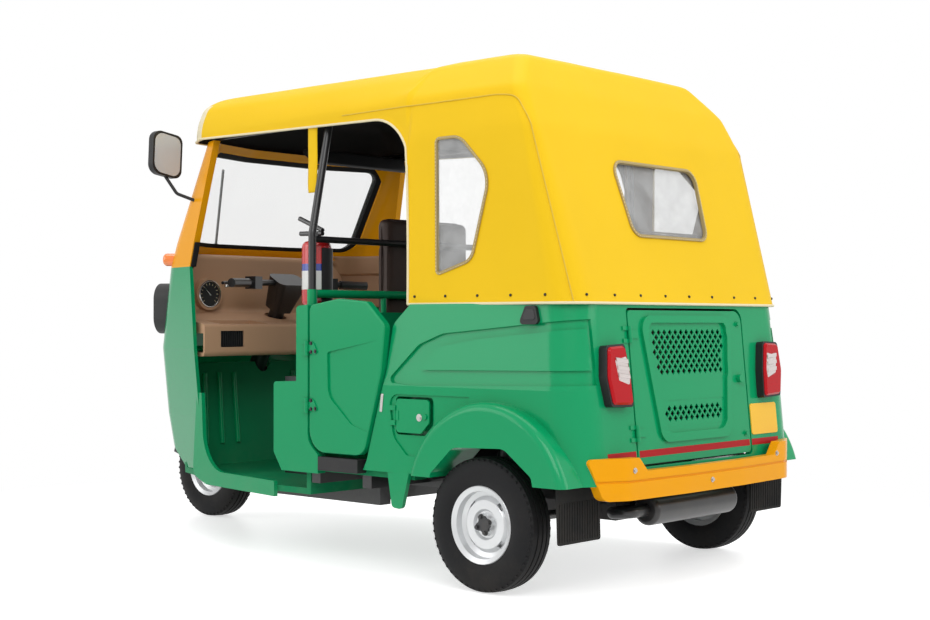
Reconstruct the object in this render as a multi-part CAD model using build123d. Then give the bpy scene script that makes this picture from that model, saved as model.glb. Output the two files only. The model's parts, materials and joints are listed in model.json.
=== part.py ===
"""Three-wheeled passenger auto rickshaw with a steel tub, half doors and a fabric canopy.

Frame: X forward, Y to the left, Z up, in millimetres. The origin is on the ground, under the middle
of the overall box. Stations along the vehicle are given from the rear axle (RA) or front axle (FA),
and widths from the tub's side wall (SIDE_Y).
"""
from build123d import *
import math
import os

# Driving sizes
WHEELBASE = 2000
REAR_OVERHANG = 420
FRONT_OVERHANG = 215
TRACK = 1150
BODY_WIDTH = 1300
ROOF_TOP_Z = 1660
TYRE_RADIUS = 200
TYRE_WIDTH = 104
FLARE_OUT = 30        # rear wheel flares beyond the side walls
PANEL = 22            # door and body walls, skin to lining
CANVAS = 10           # canopy cloth with its lining
GAP = 7               # shut line round doors, hatch and flap
TOUCH = 0.3           # clearance between a piece and its seat
PIN_CLEARANCE = 0.05  # hinge pins and axles

OVERALL_LENGTH = REAR_OVERHANG + WHEELBASE + FRONT_OVERHANG
RA = REAR_OVERHANG - OVERALL_LENGTH / 2
FA = RA + WHEELBASE
HALF_WIDTH = BODY_WIDTH / 2
SIDE_Y = HALF_WIDTH - FLARE_OUT
BEYOND = HALF_WIDTH + 60  # a width that is past every piece

# Heights
SILL_Z = 330
WAIST_Z = 600
TUB_TOP_Z = 852
CABIN_FLOOR_Z = 330
DRIVER_FLOOR_Z = 250
FLOOR_T = 20
RAIL_H = 55
PARTITION_TOP_Z = 830
PARTITION_RAIL_Z = 905
GRAB_RAIL_Z = 1072
ROOF_EDGE_Z = 1455
COWL_TOP_Z = 1000
SCREEN_TOP_Z = ROOF_EDGE_Z

# Stations along the vehicle
TUB_FRONT_X = RA + 520
PARTITION_X = RA + 778
SEAT_BOX_FRONT_X = RA + 1230
DRIVER_FLOOR_FRONT_X = FA - 350
DASH_REAR_X = FA - 575
CANOPY_FRONT_X = FA - 497
HOOD_FRONT_X = RA + 342

# Widths
FLOOR_HALF = SIDE_Y - PANEL - 2
DOOR_SKIN_Y = SIDE_Y + 10
BENCH_HALF = SIDE_Y - 75
POST_Y = SIDE_Y - 42
RAIL_Y = 305
RAIL_W = 50
TYRE_IN_Y = TRACK / 2 - TYRE_WIDTH / 2
ARM_OUT_Y = TYRE_IN_Y - 18

PARTS = {}


# Shared shapes

def add(name, shape):
    PARTS[name] = shape
    return shape


def face_of(points):
    """Closed outline from (u, v) or (u, v, corner radius)."""
    count = len(points)
    corners = []
    for i, point in enumerate(points):
        radius = point[2] if len(point) > 2 else 0
        before, here, after = (Vector(*points[k % count][:2]) for k in (i - 1, i, i + 1))
        back, on = (before - here), (after - here)
        half = math.radians(back.get_angle(on)) / 2
        setback = radius / math.tan(half)
        room = min(back.length, on.length) * 0.499
        if setback > room:
            setback = room
            radius = setback * math.tan(half)
        if radius < 0.05:
            corners.append((here, None, here))
            continue
        start, end = here + back.normalized() * setback, here + on.normalized() * setback
        bisector = (back.normalized() + on.normalized()).normalized()
        corners.append((start, here + bisector * (radius / math.sin(half) - radius), end))
    edges = []
    for i, (start, middle, end) in enumerate(corners):
        if middle is not None:
            edges.append(ThreePointArc(start, middle, end))
        following = corners[(i + 1) % count][0]
        if (following - end).length > 0.001:
            edges.append(Line(end, following))
    return make_face(edges)


def side_prism(points, y_low, y_high):
    """Outline in X, Z drawn out along Y."""
    return extrude(Plane.XZ.offset(-y_high) * face_of(points), y_high - y_low)


def front_prism(points, x_low, x_high):
    """Outline in Y, Z drawn out along X."""
    return extrude(Plane.YZ.offset(x_low) * face_of(points), x_high - x_low)


def plan_prism(points, z_low, z_high):
    """Outline in X, Y drawn out along Z."""
    return extrude(Plane.XY.offset(z_low) * face_of(points), z_high - z_low)


def box(x_low, x_high, y_low, y_high, z_low, z_high):
    size = (x_high - x_low, y_high - y_low, z_high - z_low)
    return Pos(x_low, y_low, z_low) * Box(*size, align=(Align.MIN, Align.MIN, Align.MIN))


def knob(radius, height):
    """Cylinder that stands on its own base, along Z."""
    return Cylinder(radius, height, align=(Align.CENTER, Align.CENTER, Align.MIN))


def tube(points, radius, bend=0):
    """Round bar along a path of straight runs and bends."""
    path = FilletPolyline(*points, radius=bend) if bend else Polyline(*points)
    return sweep(Plane(origin=path @ 0, z_dir=path % 0) * Circle(radius), path=path)


def rod(start, end, radius):
    """Round bar between two points."""
    a, b = Vector(*start), Vector(*end)
    plane = Plane(origin=a, z_dir=b - a)
    return extrude(plane * Circle(radius), (b - a).length)


def stack(levels, outline):
    """Ruled loft of one outline per level."""
    return loft([Plane.XY.offset(level[0]) * outline(level) for level in levels], ruled=True)


def mirrored(shape):
    return mirror(shape, about=Plane.XZ)


def both_sides(shape):
    return Compound([*shape.solids(), *mirrored(shape).solids()])


def joined(shapes):
    total = shapes[0]
    for shape in shapes[1:]:
        total = total + shape
    return total


def lerp(a, b, share):
    return a + (b - a) * share


def between(start, end, share):
    """The point at a share of the way between two points."""
    return tuple(lerp(a, b, share) for a, b in zip(start, end))


def normal(a, b):
    """Outward normal of a side, for a loop that runs clockwise seen from above."""
    length = math.dist(a, b)
    return (-(b[1] - a[1]) / length, (b[0] - a[0]) / length)


def grown(points, by):
    """Outline grown by a gap from its middle, corner by corner."""
    u_mid = (min(p[0] for p in points) + max(p[0] for p in points)) / 2
    v_mid = (min(p[1] for p in points) + max(p[1] for p in points)) / 2
    return [(p[0] + by * math.copysign(1, p[0] - u_mid), p[1] + by * math.copysign(1, p[1] - v_mid), *p[2:])
            for p in points]


# Rear tub: side walls, rounded rear corners and leaning rear wall
REAR_LEAN = 0.0967    # rear wall's X gained for each millimetre of height
LEAN_DEG = math.degrees(math.atan(REAR_LEAN))
REAR_WALL_X = RA - 362
CORNER_R = 110
# level, and how far in from the side wall the tub is at its front and at its rear
TUB_LEVELS = [
    (SILL_Z, 0, 30),
    (WAIST_Z, 0, 30),
    (TUB_TOP_Z, 20, 60),
]


def rear_wall_x(z):
    return REAR_WALL_X + (z - SILL_Z) * REAR_LEAN


def tub_outline(inset, reach):
    def outline(level):
        z, front_in, rear_in = level
        back = rear_wall_x(z) + inset
        front = TUB_FRONT_X + reach
        r = CORNER_R - inset
        f, b = SIDE_Y - front_in - inset, SIDE_Y - rear_in - inset
        return face_of([(front, f), (back, b, r), (back, -b, r), (front, -f)])
    return outline


def tub_skin(depth):
    """The tub's outside, to a depth below its skin."""
    return stack(TUB_LEVELS, tub_outline(0, 0)) - stack(TUB_LEVELS, tub_outline(depth, 60))


tub_outer = stack(TUB_LEVELS, tub_outline(0, 0))
tub_inner = stack(TUB_LEVELS, tub_outline(PANEL, 60))

# Door outline, front edge first; columns are X, Z and corner radius
DOOR_FRONT_X = RA + 736
DOOR_REAR_X = RA + 388
DOOR_BOTTOM_Z = 374
DOOR_TOP_Z = 872
DOOR_KNEE_X = DOOR_REAR_X + 17
DOOR_KNEE_Z = DOOR_TOP_Z - 232
DOOR_HEEL_X = DOOR_REAR_X + 97
DOOR_EDGE = [
    (DOOR_FRONT_X, DOOR_BOTTOM_Z, 75),
    (DOOR_FRONT_X, DOOR_TOP_Z - 20, 25),
    (DOOR_FRONT_X - 136, DOOR_TOP_Z, 0),
    (DOOR_REAR_X + 82, DOOR_TOP_Z - 10, 30),
    (DOOR_REAR_X, DOOR_TOP_Z - 85, 25),
    (DOOR_KNEE_X, DOOR_KNEE_Z, 120),
    (DOOR_HEEL_X, DOOR_BOTTOM_Z, 50),
]

# Wheel arch in the side wall, the pressed flare round it and the house over the tyre
ARCH_TOP_Z = 432
ARCH_FRONT_X = RA + 192
ARCH_REAR_X = RA - 240
ARCH_HOLE = [
    (ARCH_FRONT_X, SILL_Z - 90), (ARCH_FRONT_X - 16, SILL_Z + 12, 20), (RA + 85, ARCH_TOP_Z - 7, 50),
    (RA - 113, ARCH_TOP_Z, 50), (ARCH_REAR_X + 24, SILL_Z + 26, 20), (ARCH_REAR_X, SILL_Z - 90),
]
FLARE_R = 312
FLARE_X = RA - 30
FLARE_Z = SILL_Z - 80
FLARE_EDGE_R = 26
FLARE_DEPTH = 90
HOUSE_T = 14
HOUSE = [
    (ARCH_FRONT_X + HOUSE_T, SILL_Z), (ARCH_FRONT_X - 16 + HOUSE_T, SILL_Z + 16, 20),
    (RA + 88, ARCH_TOP_Z + HOUSE_T - 6, 60), (RA - 116, ARCH_TOP_Z + HOUSE_T, 60),
    (ARCH_REAR_X + 24 - HOUSE_T, SILL_Z + 30, 20), (ARCH_REAR_X, SILL_Z),
]

quarter_keep = side_prism([
    (REAR_WALL_X - 60, SILL_Z - 10), (REAR_WALL_X - 60, TUB_TOP_Z + 10), (RA + 305, TUB_TOP_Z + 10),
    (DOOR_REAR_X - GAP, DOOR_TOP_Z - 82, 40), (DOOR_KNEE_X - GAP, DOOR_KNEE_Z, 120),
    (DOOR_HEEL_X - GAP, DOOR_BOTTOM_Z - 10), (RA + 500, SILL_Z - 10),
], -BEYOND, BEYOND)
arch_hole = side_prism(ARCH_HOLE, -BEYOND, BEYOND)

flare_disc = Pos(FLARE_X, HALF_WIDTH, FLARE_Z) * Rot(90, 0, 0) * knob(FLARE_R, FLARE_DEPTH)
flare_disc = fillet(flare_disc.edges().sort_by(Axis.Y)[-1], FLARE_EDGE_R)
flare = flare_disc & box(RA - 345, RA + 290, HALF_WIDTH - FLARE_DEPTH, BEYOND, SILL_Z, WAIST_Z)
house = side_prism(HOUSE, ARM_OUT_Y, SIDE_Y - PANEL + 2)

# Pressings: a waist band with a raised field, wrapped round the rear corner, and the fuel flap's field
PRESS_DEPTH = 8
FUEL_DEPTH = 4
BAND_END_Y = SIDE_Y - 125  # where the band stops on the rear wall, beside the lamp
PRESS_IN_Y = SIDE_Y - 60
BAND = [
    (RA + 398, 610, 14), (RA + 271, 728, 60), (RA + 179, 762, 60), (REAR_WALL_X - 60, 815),
    (REAR_WALL_X - 60, 618), (RA + 300, 602, 10),
]
FIELD = [
    (RA + 270, 650, 10), (RA + 190, 722, 40), (RA + 45, 745, 30), (REAR_WALL_X - 60, 788),
    (REAR_WALL_X - 60, 660),
]
FUEL_FIELD = [
    (RA + 386, 574, 34), (RA + 60, 574), (RA + 60, 385), (RA + 309, 385, 20), (RA + 366, 440, 50),
]


def pressed(outline, inner_y, depth):
    """What a pressing takes from the skin inside an outline."""
    return side_prism(outline, inner_y, BEYOND) & tub_skin(depth)


FUEL_FLAP = [
    (RA + 352, 560, 14), (RA + 212, 560, 14), (RA + 212, 490, 10), (RA + 246, 456, 10), (RA + 352, 456, 14),
]
fuel_hole = side_prism(grown(FUEL_FLAP, GAP), PRESS_IN_Y, BEYOND)

band = pressed(BAND, BAND_END_Y, PRESS_DEPTH) - side_prism(FIELD, BAND_END_Y + 14, BEYOND)
tub = tub_outer - tub_inner - band - mirrored(band)

REAR_PANEL_HALF = SIDE_Y - 142
rear_keep = box(REAR_WALL_X - 60, RA - 150, -REAR_PANEL_HALF, REAR_PANEL_HALF, SILL_Z - 10, TUB_TOP_Z + 10)

# Bracket under the sill, ahead of the wheel
BRACKET_T = 14
bracket = side_prism([
    (RA + 298, SILL_Z + 4), (RA + 330, 218, 16), (RA + 372, 222, 16), (RA + 392, SILL_Z + 4),
], SIDE_Y - PANEL + 2, SIDE_Y - PANEL + 2 + BRACKET_T)

left_wall = ((tub & quarter_keep) - rear_keep) & box(RA - 500, FA, 0, BEYOND, 0, ROOF_TOP_Z)
quarter_plain = (left_wall + (flare - tub_inner) + house) - arch_hole + bracket
quarter_right = mirrored(quarter_plain)
fuel_field = pressed(FUEL_FIELD, PRESS_IN_Y, FUEL_DEPTH) - flare
quarter_left = quarter_plain - fuel_field - fuel_hole

# Fuel flap on the left side wall, hinged at its front edge
FLAP_T = 6
FLAP_SKIN_Y = SIDE_Y - FUEL_DEPTH
FLAP_KNUCKLE_R = 3.2
FLAP_PIN_R = 1.6
FLAP_KNUCKLE_H = 30
FLAP_AXIS_X = RA + 352 + GAP / 2
FLAP_AXIS_Y = FLAP_SKIN_Y + FLAP_KNUCKLE_R - 1
FLAP_AXIS_Z = 508
FUEL_CUP_T = 6
FUEL_CUP_D = 50
flap_place = Pos(FLAP_AXIS_X, FLAP_AXIS_Y, FLAP_AXIS_Z)
fuel_flap = side_prism(FUEL_FLAP, FLAP_SKIN_Y - FLAP_T, FLAP_SKIN_Y)
flap_lock = Pos(RA + 228, FLAP_SKIN_Y, FLAP_AXIS_Z) * Rot(-90, 0, 0) * knob(9, 5)
flap_arm = box(RA + 340, FLAP_AXIS_X, FLAP_SKIN_Y - 2, FLAP_SKIN_Y + 2,
               FLAP_AXIS_Z - FLAP_KNUCKLE_H / 2, FLAP_AXIS_Z + FLAP_KNUCKLE_H / 2)
flap_knuckle = flap_place * Cylinder(FLAP_KNUCKLE_R, FLAP_KNUCKLE_H)
flap_bore = flap_place * Cylinder(FLAP_PIN_R + PIN_CLEARANCE, FLAP_KNUCKLE_H + 2)
add("fuel_flap", (fuel_flap + flap_lock + flap_arm + flap_knuckle) - flap_bore)
flap_hinge = flap_place * Cylinder(FLAP_PIN_R, 2 * FLAP_KNUCKLE_H)
for end in (-1, 1):
    z_mid = FLAP_AXIS_Z + end * (FLAP_KNUCKLE_H * 0.75 + 0.5)
    half = FLAP_KNUCKLE_H / 4
    flap_hinge = flap_hinge + Pos(FLAP_AXIS_X, FLAP_AXIS_Y, z_mid) * Cylinder(FLAP_KNUCKLE_R, 2 * half)
    flap_hinge = flap_hinge + box(FLAP_AXIS_X, RA + 378, FLAP_SKIN_Y - 8, FLAP_SKIN_Y + 2,
                                  z_mid - half, z_mid + half)
cup_back_y = FLAP_SKIN_Y - FUEL_CUP_D
fuel_cup = (side_prism(grown(FUEL_FLAP, GAP + FUEL_CUP_T), cup_back_y, SIDE_Y - PANEL)
            - side_prism(grown(FUEL_FLAP, GAP), cup_back_y + FUEL_CUP_T, FLAP_SKIN_Y))
filler_neck = Pos(RA + 285, cup_back_y + FUEL_CUP_T, FLAP_AXIS_Z) * Rot(-90, 0, 0) * knob(27, 26)
add("quarter_panel_left", quarter_left + fuel_cup + filler_neck + flap_hinge)
add("quarter_panel_right", quarter_right)

# Engine hatch in the rear wall, hinged on its left edge
HATCH_LEFT_Y = REAR_PANEL_HALF - 156
HATCH_RIGHT_Y = 178 - REAR_PANEL_HALF
HATCH_BOTTOM_Z = 378
HATCH_TOP_Z = TUB_TOP_Z - 20
HATCH_EDGE = [
    (HATCH_LEFT_Y, HATCH_BOTTOM_Z, 15), (HATCH_LEFT_Y, HATCH_TOP_Z, 15),
    (HATCH_RIGHT_Y, HATCH_TOP_Z, 40), (HATCH_RIGHT_Y, HATCH_BOTTOM_Z, 15),
]
hatch_hole = front_prism(grown(HATCH_EDGE, GAP), REAR_WALL_X - 60, RA - 150)
hatch_plug = front_prism(HATCH_EDGE, REAR_WALL_X - 60, RA - 150)
rear_panel = (tub & rear_keep) - hatch_hole


def rear_slab(points, out, depth):
    """Outline in Y, Z pressed into or out of the leaning rear wall, between two depths from its skin."""
    stretch = 1 / math.cos(math.radians(LEAN_DEG))
    slab = front_prism([(p[0], (p[1] - SILL_Z) * stretch, *p[2:]) for p in points], -out, depth)
    return Pos(REAR_WALL_X, 0, SILL_Z) * Rot(0, LEAN_DEG, 0) * slab


def hatch_outline(rows):
    """Outline from rows of how far in from the hatch's left and right edge, level and corner radius."""
    left = [(HATCH_LEFT_Y - in_left, z, r) for in_left, _, z, r in rows]
    right = [(HATCH_RIGHT_Y + in_right, z, r) for _, in_right, z, r in reversed(rows)]
    return [*reversed(right), *reversed(left)]


INSET_EDGE = hatch_outline([(120, 118, 436, 45), (50, 68, 816, 45)])
UPPER_GRILLE = hatch_outline([(126, 114, 618, 20), (90, 104, 794, 20)])
LOWER_GRILLE = hatch_outline([(156, 140, 480, 14), (138, 134, 560, 14)])
INSET_RISE = 9
INSET_RIM = 26
GRILLE_T = 4
GRILLE_PITCH = 21
GRILLE_WEB = 6
inset_rim = rear_slab(INSET_EDGE, INSET_RISE, 2) - rear_slab(grown(INSET_EDGE, -INSET_RIM), INSET_RISE + 5, 0)
grille_holes = rear_slab(UPPER_GRILLE, 40, 60) + rear_slab(LOWER_GRILLE, 40, 60)
hatch = (tub & hatch_plug) + inset_rim - grille_holes


def inside(edge, y, z, margin):
    """Whether a point is within a convex outline by a margin."""
    count = len(edge)
    middle = (sum(p[0] for p in edge) / count, sum(p[1] for p in edge) / count)
    for a, b in zip(edge, [*edge[1:], edge[0]]):
        n = normal(a, b)
        side = (y - a[0]) * n[0] + (z - a[1]) * n[1]
        centre = (middle[0] - a[0]) * n[0] + (middle[1] - a[1]) * n[1]
        if side * math.copysign(1, centre) < margin:
            return False
    return True


def lattice(edge):
    """Plate with a diamond mesh that fills an outline."""
    y_low, y_high = min(p[0] for p in edge), max(p[0] for p in edge)
    z_low, z_high = min(p[1] for p in edge), max(p[1] for p in edge)
    reach = GRILLE_PITCH / math.sqrt(2)
    half = (GRILLE_PITCH - GRILLE_WEB) / math.sqrt(2)
    rows = int((z_high - z_low) / 2 / reach)
    columns = int((y_high - y_low) / 2 / reach)
    holes = []
    for i in range(-columns, columns + 1):
        for j in range(-rows, rows + 1):
            y, z = (y_low + y_high) / 2 + i * reach, (z_low + z_high) / 2 + j * reach
            if (i + j) % 2 == 0 and inside(edge, y, z, half + GRILLE_WEB):
                holes.append([(y + half, z), (y, z + half), (y - half, z), (y, z - half)])
    plate = rear_slab(grown(edge, 6), -1, 1 + GRILLE_T)
    return plate - [rear_slab(hole, 30, 60) for hole in holes]


hatch = hatch + lattice(UPPER_GRILLE) + lattice(LOWER_GRILLE)

HATCH_KNUCKLE_R = 6.5
HATCH_PIN_R = 3.5
HATCH_AXIS_Y = HATCH_LEFT_Y + GAP / 2
HATCH_LEAF_T = 4
HATCH_HINGE_Z = (470, 760)
KNUCKLE_H = 24


def on_rear_wall(shape, y, z):
    return Pos(rear_wall_x(z), y, z) * Rot(0, LEAN_DEG, 0) * shape


hatch_leaves, rear_brackets = [], []
pin_place = Pos(-HATCH_KNUCKLE_R, 0, 0)
knuckle = pin_place * Cylinder(HATCH_KNUCKLE_R, KNUCKLE_H)
pin_bore = pin_place * Cylinder(HATCH_PIN_R + PIN_CLEARANCE, KNUCKLE_H + 2)
leaf = box(-HATCH_LEAF_T, 0, -46, -GAP / 2, -KNUCKLE_H / 2, KNUCKLE_H / 2)
web = box(-HATCH_KNUCKLE_R, 0, -HATCH_KNUCKLE_R, -GAP / 2, -KNUCKLE_H / 2, KNUCKLE_H / 2)
hatch_leaf = (knuckle + leaf + web) - pin_bore
rear_bracket = pin_place * Cylinder(HATCH_PIN_R, 2 * KNUCKLE_H)
for end in (-1, 1):
    z_mid = end * (KNUCKLE_H * 0.75 + 0.5)
    half = KNUCKLE_H / 4
    rear_bracket = rear_bracket + Pos(-HATCH_KNUCKLE_R, 0, z_mid) * Cylinder(HATCH_KNUCKLE_R, 2 * half)
    rear_bracket = rear_bracket + box(-HATCH_LEAF_T, 0, GAP / 2, 30, z_mid - half, z_mid + half)
    z_low, z_high = z_mid - half, z_mid + half
    rear_bracket = rear_bracket + box(-HATCH_KNUCKLE_R, 0, GAP / 2, HATCH_KNUCKLE_R, z_low, z_high)
for z in HATCH_HINGE_Z:
    hatch_leaves.append(on_rear_wall(hatch_leaf, HATCH_AXIS_Y, z))
    rear_brackets.append(on_rear_wall(rear_bracket, HATCH_AXIS_Y, z))
hatch_knob = on_rear_wall(Rot(0, -90, 0) * knob(13, 14), HATCH_RIGHT_Y + 42, 615)
add("engine_hatch", joined([hatch, *hatch_leaves, hatch_knob]))
add("rear_panel", joined([rear_panel, *rear_brackets]))

# Doors with hinge leaves, and the hinge brackets with their pins on the front side panels
HINGE_AXIS_X = DOOR_FRONT_X + 5
HINGE_KNUCKLE_R = 7
HINGE_PIN_R = 4
HINGE_AXIS_Y = DOOR_SKIN_Y + HINGE_KNUCKLE_R
HINGE_LEAF_T = 4
DOOR_HINGE_Z = (526, 712)
DOOR_T = PANEL + 3
DOOR_EDGE_R = 5
DISH_TILT = 1.7       # degrees, so that the dish is deep at its front edge and runs out at its rear

door = side_prism(DOOR_EDGE, DOOR_SKIN_Y - DOOR_T, DOOR_SKIN_Y)
door = fillet(door.edges().group_by(Axis.Y)[-1], DOOR_EDGE_R)
dish_rear_x = DOOR_REAR_X + 30
dish = side_prism([
    (DOOR_FRONT_X - 86, 700, 10), (DOOR_FRONT_X - 90, 560, 60), (DOOR_FRONT_X - 200, 470, 60),
    (dish_rear_x, 440), (dish_rear_x, 740),
], 0, 40)
dish = Pos(dish_rear_x, DOOR_SKIN_Y, 0) * Rot(0, 0, -DISH_TILT) * Pos(-dish_rear_x, 0, 0) * dish
door = door - dish
FRONT_PANEL_REAR_X = DOOR_FRONT_X + GAP
FRONT_PANEL_STEP_Z = 603
FRONT_PANEL_BOTTOM_Z = 306
front_side = side_prism([
    (FRONT_PANEL_REAR_X, DOOR_TOP_Z - 18, 6), (FRONT_PANEL_REAR_X + 56, DOOR_TOP_Z - 22, 15),
    (FRONT_PANEL_REAR_X + 56, FRONT_PANEL_STEP_Z), (FRONT_PANEL_REAR_X + 168, FRONT_PANEL_STEP_Z - 4, 12),
    (FRONT_PANEL_REAR_X + 168, FRONT_PANEL_BOTTOM_Z + 60), (FRONT_PANEL_REAR_X + 128, FRONT_PANEL_BOTTOM_Z),
    (RA + 694, FRONT_PANEL_BOTTOM_Z), (RA + 694, DOOR_BOTTOM_Z - GAP, 8),
    (FRONT_PANEL_REAR_X, DOOR_BOTTOM_Z - GAP + 40, 60),
], FLOOR_HALF, DOOR_SKIN_Y) - side_prism(grown(DOOR_EDGE, GAP), PRESS_IN_Y, BEYOND)
for z in DOOR_HINGE_Z:
    place = Pos(HINGE_AXIS_X, HINGE_AXIS_Y, z)
    knuckle = place * Cylinder(HINGE_KNUCKLE_R, KNUCKLE_H)
    bore = place * Cylinder(HINGE_PIN_R + PIN_CLEARANCE, KNUCKLE_H + 2)
    leaf = side_prism([
        (DOOR_FRONT_X - 6, z - KNUCKLE_H / 2), (HINGE_AXIS_X - 4, z - KNUCKLE_H / 2),
        (HINGE_AXIS_X - 4, z + KNUCKLE_H / 2), (DOOR_FRONT_X - 6, z + KNUCKLE_H / 2),
        (DOOR_FRONT_X - 22, z + 22, 6), (DOOR_FRONT_X - 44, z - 14, 8), (DOOR_FRONT_X - 30, z - 20, 6),
    ], DOOR_SKIN_Y - 1, DOOR_SKIN_Y + HINGE_LEAF_T)
    door = door + ((knuckle + leaf) - bore)
    front_side = front_side + place * Cylinder(HINGE_PIN_R, 2 * KNUCKLE_H)
    for end in (-1, 1):
        z_mid = z + end * (KNUCKLE_H * 0.75 + 0.5)
        half = KNUCKLE_H / 4
        ear = Pos(HINGE_AXIS_X, HINGE_AXIS_Y, z_mid) * Cylinder(HINGE_KNUCKLE_R, 2 * half)
        plate = box(HINGE_AXIS_X, HINGE_AXIS_X + 30, DOOR_SKIN_Y, DOOR_SKIN_Y + HINGE_LEAF_T,
                    z_mid - half, z_mid + half)
        front_side = front_side + ear + plate
add("door_left", door)
add("door_right", mirrored(door))
add("front_side_panels", both_sides(front_side))

# Chassis rails, cross members and bumper tongues
CABIN_RAIL_Z = CABIN_FLOOR_Z - FLOOR_T - RAIL_H
DRIVER_RAIL_Z = DRIVER_FLOOR_Z - FLOOR_T - RAIL_H
RAIL_REAR_X = RA - 245
RAIL_FRONT_X = FA - 420
RAIL_DROP_X = PARTITION_X - 14
CROSS_W = 40
BUMPER_BACK_X = RA - 386
TONGUE_T = 20
TIE_R = 9
TIE_DEPTH = 30
TIE_X = RA + 560


def rails(y):
    low, high = y - RAIL_W / 2, y + RAIL_W / 2
    rail = box(RAIL_REAR_X, RAIL_DROP_X, low, high, CABIN_RAIL_Z, CABIN_RAIL_Z + RAIL_H)
    rail = rail + box(RAIL_DROP_X - RAIL_H, RAIL_DROP_X, low, high, DRIVER_RAIL_Z, CABIN_RAIL_Z + RAIL_H)
    rail = rail + box(RAIL_DROP_X - RAIL_H, RAIL_FRONT_X, low, high, DRIVER_RAIL_Z, DRIVER_RAIL_Z + RAIL_H)
    tongue_z = CABIN_RAIL_Z + RAIL_H - TONGUE_T
    rail = rail + box(BUMPER_BACK_X, RAIL_REAR_X, low, high, tongue_z, tongue_z + TONGUE_T)
    return rail - Pos(TIE_X, y, CABIN_RAIL_Z) * knob(TIE_R, TIE_DEPTH)


frame_pieces = [rails(RAIL_Y), rails(-RAIL_Y)]
# rear X and base Z of each cross member
for x, z in ((RAIL_REAR_X, CABIN_RAIL_Z), (RA + 310, CABIN_RAIL_Z), (PARTITION_X + 30, DRIVER_RAIL_Z),
             (RAIL_FRONT_X - 60, DRIVER_RAIL_Z)):
    frame_pieces.append(box(x, x + CROSS_W, -RAIL_Y, RAIL_Y, z, z + RAIL_H))
for side in (-1, 1):
    y_low, y_high = sorted((side * RAIL_Y, side * FLOOR_HALF))
    for x in (RA + 480, PARTITION_X - 60):
        frame_pieces.append(box(x, x + CROSS_W, y_low, y_high, CABIN_RAIL_Z + 15, CABIN_RAIL_Z + RAIL_H))
add("chassis_frame", joined(frame_pieces))

# Steering axis, raked back
STEER_TOP = (FA - 430, 0, 930)
STEER_LOW = (FA - 22, 0, TYRE_RADIUS)
COLUMN_R = 22
HEAD_R = 34


def steer_point(z):
    share = (z - STEER_LOW[2]) / (STEER_TOP[2] - STEER_LOW[2])
    return (lerp(STEER_LOW[0], STEER_TOP[0], share), 0, z)


# Front cowl, from the sills up to the screen, and the screen surround that stands on it
# level, then X from the front axle and set-in from the side wall for the rear end, the corner and the nose
COWL_LEVELS = [
    (DRIVER_FLOOR_Z, -560, 126, -220, 250, 10, 490),
    (450, -545, 106, -182, 238, 78, 490),
    (700, -532, 90, -180, 208, 40, 470),
    (COWL_TOP_Z, -500, 95, -298, 144, -170, 410),
]
SCREEN_LEVELS = [
    COWL_LEVELS[-1],
    (1090, -525, 95, -338, 142, -210, 410),
    (SCREEN_TOP_Z, -609, 120, -527, 146, -453, 410),
]
COWL_CORNER_R = 150
COWL_NOSE_R = 160
COWL_T = 14
SCREEN_FRAME_T = 28


def along(start, end, extra):
    """The point past end, on the line from start."""
    length = math.dist(start, end)
    return tuple(b + (b - a) / length * extra for a, b in zip(start, end))


def inset_loop(loop, by):
    """Closed loop of points moved inwards, each side by the same distance."""
    moved = []
    count = len(loop)
    for i in range(count):
        a, b, c = loop[i - 1], loop[i], loop[(i + 1) % count]
        n1, n2 = normal(a, b), normal(b, c)
        scale = by / (1 + n1[0] * n2[0] + n1[1] * n2[1])
        moved.append((b[0] - (n1[0] + n2[0]) * scale, b[1] - (n1[1] + n2[1]) * scale))
    return moved


def nose_outline(inset, reach):
    def outline(level):
        _, rear_x, rear_in, corner_x, corner_in, nose_x, nose_in = level
        stations = ((rear_x, rear_in), (corner_x, corner_in), (nose_x, nose_in))
        points = [(FA + x, SIDE_Y - set_in) for x, set_in in stations]
        loop = points + [(x, -y) for x, y in reversed(points)]
        inner = inset_loop(loop, inset)
        inner[0] = along(inner[1], inner[0], reach)
        inner[-1] = (inner[0][0], -inner[0][1])
        radii = (0, COWL_CORNER_R - inset, COWL_NOSE_R - inset)
        return face_of([(*p, r) for p, r in zip(inner, (*radii, *reversed(radii)))])
    return outline


cowl_outer = stack(COWL_LEVELS, nose_outline(0, 0))
cowl_inner = stack(COWL_LEVELS, nose_outline(COWL_T, 120))
WELL_HALF = 255
WELL_TOP_Z = 520
WELL_REAR_X = FA - 255
wheel_well = front_prism([
    (WELL_HALF, 0), (WELL_HALF, WELL_TOP_Z, 110), (-WELL_HALF, WELL_TOP_Z, 110), (-WELL_HALF, 0),
], WELL_REAR_X, FA + 400)
toe_round = side_prism([
    (FA - 330, 0), (FA - 330, DRIVER_FLOOR_Z + 4), (FA - 190, 330, 90), (FA - 150, 470, 40),
    (FA + 200, 470), (FA + 200, 0),
], -BEYOND, BEYOND)
cowl = (cowl_outer - cowl_inner) - wheel_well - toe_round

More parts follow.
